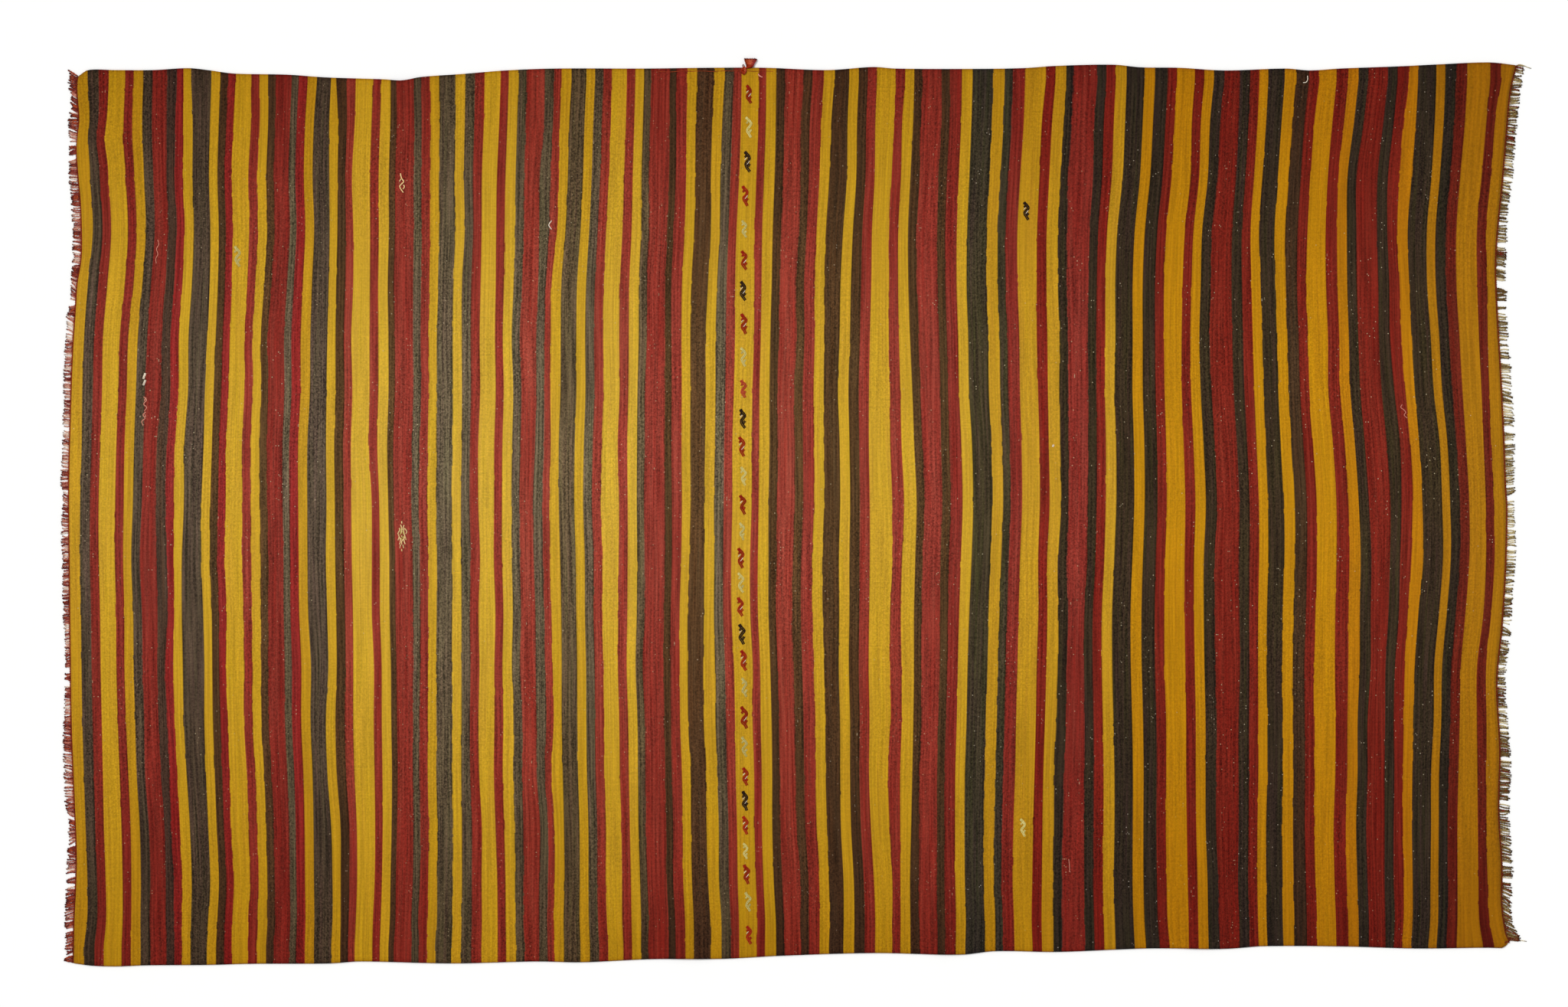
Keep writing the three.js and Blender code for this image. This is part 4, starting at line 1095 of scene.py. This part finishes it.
def warp_ends(edge, side, stop_px, chart, pitch_px, root_px, width, height, turn, seed):
    """The twisted warp ends of one end of the cloth, lying on the floor."""
    random = np.random.default_rng(seed)
    fringe, tones, gaps, bunches = chart
    length_at = through([(row[0], row[1]) for row in fringe])
    lean_at = through([(row[0], row[2]) for row in fringe])
    tone_at = through(tones)
    yarn = Yarn()
    share = np.linspace(0, 1, STRAND_STEPS)
    py = fringe[0][0] + 0.4 * pitch_px
    while py < stop_px - 0.4 * pitch_px:
        root_y = py + 0.25 * pitch_px * random.uniform(-1, 1)
        # painted shade: the light's falloff darkens the strands' tones towards the corners
        falloff_dimming = 0.1 - 0.22 * falloff_shade(edge(root_y), root_y)
        tone = tone_at(root_y) + falloff_dimming + FRINGE_SPREAD * random.uniform(-1, 1)
        tone = float(np.clip(tone, 0.04, 1))
        length = length_at(root_y) * random.uniform(*LENGTHS) - root_px
        tip_y = root_y + lean_at(root_y) + TIP_STRAY_PX * random.uniform(-1, 1)
        bow = random.uniform(-BOW_PX, BOW_PX)
        thick = height * random.uniform(*HEIGHTS)
        thin = (1.15 - 0.3 * tone) * random.uniform(*WIDTHS)
        layer = FRINGE_LAYER * random.uniform(0, 1)
        flare, start = random.uniform(*FLARES), random.uniform(0, 1)
        py += pitch_px * (0.6 + 0.45 * tone) * random.uniform(*PITCHES)
        if any(abs(root_y - middle) < half for middle, half in gaps):
            continue
        for low, high, meet in bunches:
            if low < root_y < high:
                tip_y += 0.65 * (meet - tip_y)
        strand_x = edge(root_y) + side * (root_px + length * share)
        strand_y = root_y + (tip_y - root_y) * share**1.2 + np.sin(math.pi * share) * bow
        path = at_heights(strand_x, strand_y, 0.56 * thick + layer * (1 - share**2))
        yarn.plied(path, width * thin, thick, turn, tone, STRAND_TAPER, flare, start=start)
    return yarn


def run_through(points, count):
    """Places at even steps of a smooth curve through points, one array for each coordinate."""
    at = np.linspace(0, len(points) - 1, count)
    return [through(list(enumerate(places)))(at) for places in zip(*points)]


STRAY_STEPS = 20
STRAY_TURN = 0.008


def stray_ends(yarn, strays):
    """Charted single ends, added to a fringe's yarn."""
    for points_px, width, tone in strays:
        px, py = run_through(points_px, STRAY_STEPS)
        path = at_heights(px, py, np.full(STRAY_STEPS, 0.6 * width))
        yarn.plied(path, width, 0.9 * width, STRAY_TURN, tone, taper=0.7, flare=1.1)


# The wools' grains and patches, in a metre, and white
NAP_GRAIN = 1600
FRINGE_NAP_GRAIN = 1500
FRINGE_MOTTLE = (160, 130, 160)
CORD_PATCH = 420
FIGURE_PATCH = 700
THREAD_PATCH = 500
WHITE = (255, 255, 255)


def strand_material(name, tones, shades, hair_grain, brightest, nap_grain, mottle=None):
    """Twisted yarn: its colour goes by each strand's tone, and its shade by the place along it."""
    s = Shader(name)
    tone = s.attribute("tone")
    if mottle:
        tone = s.math("MULTIPLY_ADD", s.math("SUBTRACT", s.noise(mottle, 1), 0.5), 0.5, tone)
    colour = s.mix(1.0, s.tones(tone, tones), s.tones(s.attribute("along"), shades), "MULTIPLY")
    hairs = s.noise((hair_grain, hair_grain, hair_grain), 2, 0.6)
    s.nap(nap_grain)
    return s.finish(s.bright(colour, s.spread(hairs, 0.3, 0.7, 0.8, brightest)), WOOL)


def plain_wool(name, deep, pale, patch):
    """Wool yarn between two tones in small patches."""
    s = Shader(name)
    blend = s.spread(s.noise((patch, patch, patch), 2), 0.35, 0.65)
    colour = s.mix(blend, paint(deep), paint(pale))
    # brighter or darker by each point's tone, which on the end cords carries painted shade of the light's
    # falloff
    colour = s.bright(colour, s.math("MULTIPLY_ADD", s.attribute("tone"), 0.5, 0.75))
    s.nap(NAP_GRAIN)
    return s.finish(colour, WOOL)


# The small hook figures down the wide yellow stripe in the middle: yarn, x, y and size
HOOKS = [
    ("red", 978, 123, 0.9), ("pale", 978, 166.5, 1), ("black", 976, 211, 1), ("red", 973.4, 256, 1),
    ("pale", 972, 299, 0.85), ("red", 971.7, 340, 0.95), ("black", 970.4, 380, 0.95),
    ("red", 971.4, 423, 1), ("pale", 971, 466.5, 0.95), ("pink", 971, 508, 0.9),
    ("black", 970, 547, 0.95), ("red", 969, 583.5, 1), ("pale", 971, 622, 0.95),
    ("red", 970, 659, 0.95), ("pale", 969, 694, 0.85), ("red", 967.5, 729, 1),
    ("pale", 967.5, 761, 1), ("red", 967, 792.6, 0.95), ("black", 969, 828.6, 1),
    ("red", 971, 862.5, 1), ("pale", 972, 898, 0.95), ("red", 972, 937, 1.1),
    ("pale", 972, 975.6, 1), ("red", 973.4, 1014, 0.9), ("black", 973, 1046, 0.95),
    ("red", 973.4, 1078, 0.9), ("pale", 973.6, 1111.6, 0.8), ("red", 975, 1142, 0.95),
    ("pale", 977, 1178, 0.95), ("red", 978, 1221, 0.9), ("black", 1340.2, 275.5, 0.9),
    ("pale", 310, 335, 1.05), ("pale", 1336, 1081, 0.9),
]
# One hook figure about its middle, in pixels: its strokes and how wide each is, and the thin pale
# painted highlights between them
HOOK_STROKES = [
    ([(-3.2, -13.2), (-1.4, -10.4), (1.8, -7.2), (2.9, -4.4), (1.0, -1.2), (-1.8, 2.0),
      (-2.0, 4.8), (0.4, 8.2), (3.0, 12.8)], 3.5),
    ([(-0.6, -8.2), (-2.0, -6.6), (-3.0, -5.0)], 2.6),
    ([(3.2, 2.8), (1.8, 5.0), (1.0, 6.8)], 3.0),
    ([(-3.6, -12.0), (-2.4, -10.6), (-1.4, -9.4)], 2.6),
]
HOOK_HIGHLIGHTS = [
    [(-0.4, 3.7), (1.4, 1.5), (3.1, -0.9)],
    [(-3.4, -2.0), (-2.0, -3.6), (-0.5, -5.2)],
]
HIGHLIGHT_PX = 0.9
# Other small marks, each a few stitches of light yarn: strokes in photograph pixels, and their width
STRAY_MARKS = [
    ("cream", 1.7, [
        [(523, 226.5), (523.6, 229.6), (524.6, 232.8), (527.3, 237.2), (525.3, 239.6),
         (522.2, 243.1), (523.8, 247.1), (526.8, 251.4)],
        [(523.8, 233.6), (521.7, 237.2)],
        [(527.1, 241.6), (528.2, 244.2), (526.2, 247.2)],
    ]),
    ("cream", 1.7, [
        [(524.7, 680.6), (524.9, 683.8)],
        [(523.4, 685.2), (524.6, 689.2), (524.9, 692.4), (523.9, 697)],
        [(527.8, 685.6), (526.6, 689.4), (526.1, 692)],
        [(521.7, 689.4), (522, 692.6), (520, 696.4), (521.4, 701), (519.8, 705.6)],
        [(521.4, 701), (523.2, 705.4), (522, 711)],
        [(528.7, 689.6), (527.4, 692.6), (528.2, 697.6), (530.6, 705.2)],
        [(528.9, 690), (531.3, 694.2), (530.1, 697.4)],
        [(524.6, 699), (524.9, 701.6)],
        [(529, 699.6), (527.6, 704.8), (529.2, 710.6)],
        [(526.6, 704.4), (524.8, 706.8), (524.7, 711)],
        [(523.2, 711.2), (522.3, 716)],
        [(526.4, 711.4), (527.2, 716)],
        [(524.7, 716.8), (524.9, 720)],
    ]),
    ("green", 1.5, [
        [(523, 690.4), (523.4, 695), (522.6, 698.8)],
        [(526.4, 693), (526.8, 698)],
        [(523.4, 702.4), (525, 705)],
        [(526.9, 700), (526, 703.4)],
    ]),
    ("white", 1.5, [[(720.5, 288), (716.9, 294), (720.5, 299.5)]]),
    ("white", 3.6, [[(1374.6, 581.4), (1376.6, 582.6)]]),
    ("white", 2.9, [[(189.9, 487.3), (187.2, 494.8)], [(190, 496.2), (187.2, 503.2)]]),
    ("blush", 1.5, [
        [(187.6, 518), (191.4, 522.4), (187.8, 527.6), (191.6, 532), (188.6, 537)],
        [(190.6, 538), (187, 541.8), (189.6, 546.4), (185.4, 550), (187, 556)],
        [(190.8, 519), (188.4, 523.6)], [(189.4, 541), (190.6, 545)],
    ]),
    ("blush", 1.0, [[(206, 313), (207.4, 319), (204.6, 325), (206.2, 332), (203.6, 338), (204.2, 344)]]),
    ("blush", 1.0, [[(1396, 1122), (1396.8, 1130), (1397, 1138)], [(1396.4, 1137.4), (1398, 1138.6)]]),
    ("blush", 1.1, [
        [(1831.4, 528), (1829.6, 532), (1833.4, 535), (1836, 538.6), (1834, 542), (1838, 546)],
    ]),
    ("white", 1.1, [[(1702, 108), (1706.2, 107.2), (1708, 103), (1707.6, 99)]]),
    ("blush", 1.7, [[(990.4, 96.6), (992.2, 99.2), (996, 100.8)]]),
]
# Laid yarn: how thick it is at most, its turn, how close its strands lie, how far they overlap and
# how thin they end
STITCH_THICK = 0.0016
STITCH_TURN = 0.005
STRANDS_APART = 0.92
STRAND_OVERLAP = 1.16
STITCH_TAPER = 0.8


def stitch(yarn, points_px, width_px, tone, rise, strands):
    """Yarn laid on the cloth along photograph points, as strands side by side."""
    points = np.array(points_px, float)
    steps = np.concatenate([[0], np.cumsum(np.hypot(*np.diff(points, axis=0).T))])
    count = max(5, round(steps[-1] * 1.1))
    at = np.linspace(0, steps[-1], count)
    px, py = (through(list(zip(steps, places)))(at) for places in points.T)
    aside = np.stack([-np.gradient(py), np.gradient(px)])
    aside /= np.hypot(*aside)
    strand_px = width_px / strands
    width = strand_px * METRES_PER_PX * STRAND_OVERLAP
    for k in range(strands):
        off = (k - (strands - 1) / 2) * strand_px * STRANDS_APART
        path = on_cloth(px + aside[0] * off, py + aside[1] * off, rise)
        thick = min(STITCH_THICK, width)
        yarn.plied(path, width, thick, STITCH_TURN, tone + 0.1 * k, STITCH_TAPER, start=0.3 * k)


# The figures' wools, each between two tones, how far a hook's points stray, how many of the dark
# hooks' painted highlights show, and how high the painted highlights, the hooks and the other marks lie
FIGURE_WOOLS = {
    "red": ((126, 14, 6), (164, 40, 22)),
    "pink": ((150, 44, 26), (184, 76, 52)),
    "black": ((26, 14, 10), (50, 32, 24)),
    "pale": ((178, 162, 76), (212, 202, 140)),
    "cream": ((214, 178, 112), (240, 212, 160)),
    "green": ((184, 166, 76), (206, 192, 112)),
    "white": ((226, 208, 182), (246, 234, 216)),
    "blush": ((196, 118, 96), (226, 158, 136)),
}
HOOK_SHAKE_PX = 0.45
HIGHLIGHT_CHANCE = 0.7
HIGHLIGHT_RISE = 0.0018
PALE_HOOK_RISE = 0.0002
DARK_HOOK_RISE = 0.0004
MARK_RISE = 0.0003


def hook_figures():
    """The hook figures and the stray marks, one yarn collection for each colour."""
    random = np.random.default_rng(7)
    yarns = {name: Yarn() for name in FIGURE_WOOLS}
    for name, x, y, size in HOOKS:
        shake = random.uniform(-HOOK_SHAKE_PX, HOOK_SHAKE_PX, (12, 2))
        wider, rise = (1.0, PALE_HOOK_RISE) if name == "pale" else (1.3, DARK_HOOK_RISE)
        for points, width in HOOK_STROKES:
            placed = [
                (x + (dx + shake[i, 0]) * size, y + (dy + shake[i, 1]) * size)
                for i, (dx, dy) in enumerate(points)
            ]
            width_px = width * wider * size**0.5
            stitch(yarns[name], placed, width_px, random.uniform(0.1, 0.9), rise, 2)
        # painted highlights: thin strands of white wool laid along the dark hooks
        for points in HOOK_HIGHLIGHTS:
            if name != "pale" and random.uniform(0, 1) < HIGHLIGHT_CHANCE:
                placed = [(x + dx * size, y + dy * size) for dx, dy in points]
                stitch(yarns["white"], placed, HIGHLIGHT_PX, random.uniform(0.1, 0.9), HIGHLIGHT_RISE, 1)
    for name, width, strokes in STRAY_MARKS:
        for points in strokes:
            strands = 1 if width < 2 else 2
            stitch(yarns[name], points, width, random.uniform(0.2, 0.8), MARK_RISE, strands)
    return yarns


# The thin thread that shows along the top selvedge, from x to x, and how far below the edge it
# lies, its points, its height over the cloth and how deep it dips, and its width, height and turn
EDGE_THREAD_PX = (858, 1010, 4.4)
EDGE_THREAD_STEPS = 90
EDGE_THREAD_RISE = 0.0009
EDGE_THREAD_DIP = 0.0006
EDGE_THREAD_WOOL = (0.0016, 0.0014, 0.006)


def edge_thread():
    """The thread along the top selvedge, which sways a little and dips into the cloth."""
    from_px, to_px, below_px = EDGE_THREAD_PX
    px = np.linspace(from_px, to_px, EDGE_THREAD_STEPS)
    sway_px = 0.3 * np.sin(px / 4.2) + 0.25 * np.sin(px / 9.7)
    dip = EDGE_THREAD_DIP * np.maximum(0, np.sin(px / 5.3)) ** 2
    path = on_cloth(px, top_selvedge(px) + below_px + sway_px, EDGE_THREAD_RISE - dip)
    yarn = Yarn()
    yarn.plied(path, *EDGE_THREAD_WOOL, 0.5)
    return yarn.made("edge_thread")


# The tassel: its waist and how wide that is, how far its cut ends spread and its knot, in
# photograph pixels, its yarns, their layers and the points along one, the knot's loops and the
# points along one, and the width, height and turn of their wool
TASSEL_WAIST_PX = (979.2, 87.6)
TASSEL_WAIST_WIDTH_PX = 8.2
TASSEL_TIPS_PX = (971.8, 989.2, 76.2)
TASSEL_KNOT_PX = (971.4, 92.4)
TASSEL_YARNS = 46
TASSEL_LAYERS = 4
TASSEL_STEPS = 15
TASSEL_WOOL = (0.0020, 0.0016, 0.012)
KNOT_LOOPS = 8
KNOT_STEPS = 22
KNOT_WOOL = (0.0021, 0.0019, 0.006)
# A loop of the knot that stands up at the left like an ear
EAR_PX = [(971.6, 89), (969.9, 86.2), (970.3, 84.4), (971.6, 84.9), (972.6, 88.4)]
EAR_WOOL = (0.0018, 0.0016, 0.006)
EAR_HEIGHT = 0.0022
EAR_STEPS = 16


def wool_tassel():
    """A cut bundle of wool above the selvedge, gathered at a waist and knotted into the cloth's corner."""
    random = np.random.default_rng(5)
    yarn = Yarn()
    waist_x, waist_y = TASSEL_WAIST_PX
    low_x, high_x, tips_y = TASSEL_TIPS_PX
    knot_x, knot_y = TASSEL_KNOT_PX
    surface = float(cloth_top(kilim_x(waist_x), kilim_y(waist_y + 2)))
    for i in range(TASSEL_YARNS):
        share = (i + 0.5) / TASSEL_YARNS
        layer = (i * 7) % TASSEL_LAYERS
        tip_x = low_x + (high_x - low_x) * share + random.uniform(-0.3, 0.3)
        tip_y = tips_y + random.uniform(-0.2, 0.9) + 0.6 * (share > 0.9)
        root_x = waist_x + (share - 0.5) * TASSEL_WAIST_WIDTH_PX
        low = 0.0009 + 0.0013 * layer
        high = surface - 0.0002 + 0.0009 * layer
        path_px = [
            (knot_x + 1.8 + 1.2 * share, knot_y - 3.4, high + 0.0008),
            (0.5 * (knot_x + 2 + root_x), waist_y + 0.9, high + 0.0010),
            (root_x, waist_y - 0.4, high + 0.0004),
            (root_x + 0.22 * (tip_x - root_x), waist_y - 3.2, 0.5 * (low + high)),
            (root_x + 0.62 * (tip_x - root_x), waist_y - 7, low + 0.0003),
            (tip_x, tip_y, low),
        ]
        path = at_heights(*run_through(path_px, TASSEL_STEPS))
        yarn.plied(path, *TASSEL_WOOL, share, taper=0.9, flare=1.25, start=random.uniform(0, 1))
    # the knot, loops of the same wool wound over each other
    angle = np.linspace(0, 2 * math.pi, KNOT_STEPS)
    for k in range(KNOT_LOOPS):
        turn = math.pi * k / KNOT_LOOPS + 0.3
        long_way, short_way = 5.0 - 0.3 * (k % 3), 0.9 + 1.0 * (k % 3)
        a, b = long_way * np.cos(angle), short_way * np.sin(angle)
        px = knot_x + a * math.cos(turn) * 0.74 - b * math.sin(turn) * 0.8
        py = knot_y + a * math.sin(turn) * 1.05 + b * math.cos(turn)
        path = on_cloth(px, py, 0.0006 + 0.0013 * (1 + np.sin(angle + k)))
        yarn.plied(path, *KNOT_WOOL, 0.15 + 0.3 * (k % 3))
    px, py = run_through(EAR_PX, EAR_STEPS)
    ear_z = [surface, EAR_HEIGHT, EAR_HEIGHT, surface + 0.001]
    z = np.interp(np.linspace(0, 4, EAR_STEPS), [0, 1, 3, 4], ear_z)
    yarn.plied(at_heights(px, py, z), *EAR_WOOL, 0.05)
    return yarn.made("wool_tassel")


# Orange-red wool, darker at the cut ends and purplish on one side
TASSEL_TONES = [
    (0.0, (120, 50, 24)), (0.2, (182, 72, 32)), (0.5, (210, 108, 74)), (0.75, (172, 66, 50)),
    (1.0, (136, 46, 48)),
]
TASSEL_SHADES = [
    (0.0, (214, 150, 96)), (0.45, (196, 136, 84)), (0.6, WHITE), (0.84, WHITE), (1.0, (150, 124, 116)),
]

# The field and its ends
field, field_area = woven_field()
field.data.materials.append(field_material())
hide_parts("field")

cord_left = end_cord(
    "end_cord_left", left_end, -1, centre_px=0.95, top_px=99.5, bottom_px=1257.5, width=0.0039,
)
cord_right = end_cord(
    "end_cord_right", right_end, 1, centre_px=0.5, top_px=85.5, bottom_px=1229.5, width=0.0045,
)
cord_left.data.materials.append(
    plain_wool("end_cord_left_wool", deep=(98, 28, 12), pale=(150, 60, 32), patch=CORD_PATCH)
)
cord_right.data.materials.append(
    plain_wool("end_cord_right_wool", deep=(78, 24, 8), pale=(122, 50, 22), patch=CORD_PATCH)
)

left_yarn = warp_ends(
    left_end, -1, stop_px=ENDS_BOTTOM_PX, chart=LEFT_CHART, pitch_px=2.4, root_px=1.4,
    width=0.0038, height=0.0027, turn=0.012, seed=11,
)
right_yarn = warp_ends(
    right_end, 1, stop_px=1228, chart=RIGHT_CHART, pitch_px=2.25, root_px=0.9,
    width=0.0034, height=0.0025, turn=0.011, seed=12,
)
# The strands' colours from tone 0 to 1: the wool's own reds and browns, partly painted shadow at the
# darkest stops and painted highlights at the palest
left_tones = [
    (0.0, (166, 70, 40)), (0.1, (90, 32, 30)), (0.3, (140, 58, 50)), (0.55, (190, 116, 98)),
    (0.8, (220, 176, 154)), (1.0, (238, 216, 198)),
]
right_tones = [
    (0.0, (116, 38, 22)), (0.1, (82, 56, 28)), (0.3, (100, 78, 42)), (0.55, (134, 112, 66)),
    (0.8, (184, 166, 118)), (1.0, (224, 210, 168)),
]
left_shades = [(0.0, (206, 158, 122)), (0.2, WHITE), (0.7, WHITE), (1.0, (120, 104, 100))]
right_shades = [(0.0, (214, 158, 100)), (0.3, WHITE), (0.8, WHITE), (1.0, (140, 130, 120))]
fringes = []
for side, cord, yarn, strays, tones, shades in (
    ("left", cord_left, left_yarn, LEFT_STRAYS, left_tones, left_shades),
    ("right", cord_right, right_yarn, RIGHT_STRAYS, right_tones, right_shades),
):
    stray_ends(yarn, strays)
    ends = yarn.made(f"warp_ends_{side}")
    ends.data.materials.append(strand_material(
        f"warp_ends_{side}_wool", tones, shades, hair_grain=900, brightest=1.2,
        nap_grain=FRINGE_NAP_GRAIN, mottle=FRINGE_MOTTLE,
    ))
    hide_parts(f"fringe_{side}")
    fringes.append(ends)

# The figures, the edge thread and the tassel
figures = []
for wool, yarn in hook_figures().items():
    figure = yarn.made(f"figures_{wool}")
    figure.data.materials.append(plain_wool(f"figure_wool_{wool}", *FIGURE_WOOLS[wool], FIGURE_PATCH))
    figures.append(figure)

thread = edge_thread()
thread.data.materials.append(
    plain_wool("edge_thread_wool", deep=(128, 44, 20), pale=(168, 72, 36), patch=THREAD_PATCH)
)

tassel = wool_tassel()
tassel.data.materials.append(strand_material(
    "tassel_wool", TASSEL_TONES, TASSEL_SHADES, hair_grain=700, brightest=1.25, nap_grain=NAP_GRAIN,
))
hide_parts("tassel")

pieces = [field, cord_left, cord_right, *fringes, *figures, thread, tassel]
for piece in pieces:
    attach(piece, "root")

# A pale floor and soft studio light
FLOOR_SIZE = 40
FLOOR_COLOUR = (252, 252, 251)
WORLD_STRENGTH = 0.5
KEY_SPREAD_DEGREES = 30
KEY_STRENGTH = 1.95
KEY_FROM = (-0.42, 0.40, 1.0)
bpy.ops.mesh.primitive_plane_add(size=FLOOR_SIZE, location=(0, 0, -FLOOR_DROP))
floor = bpy.context.object
floor.name = "floor"
floor.data.materials.append(Shader("floor_paint").finish(paint(FLOOR_COLOUR), FLOOR_PAINT))

world = bpy.data.worlds.new("studio")
bpy.context.scene.world = world
world.use_nodes = True
background = world.node_tree.nodes["Background"]
background.inputs["Color"].default_value = (1, 1, 1, 1)
background.inputs["Strength"].default_value = WORLD_STRENGTH

sun_data = bpy.data.lights.new("soft_key", "SUN")
sun_data.angle = math.radians(KEY_SPREAD_DEGREES)
sun_data.energy = KEY_STRENGTH
sun = bpy.data.objects.new("soft_key", sun_data)
bpy.context.scene.collection.objects.link(sun)
sun.rotation_euler = Vector(KEY_FROM).to_track_quat("Z", "Y").to_euler()

bpy.context.scene.view_settings.view_transform = "Standard"
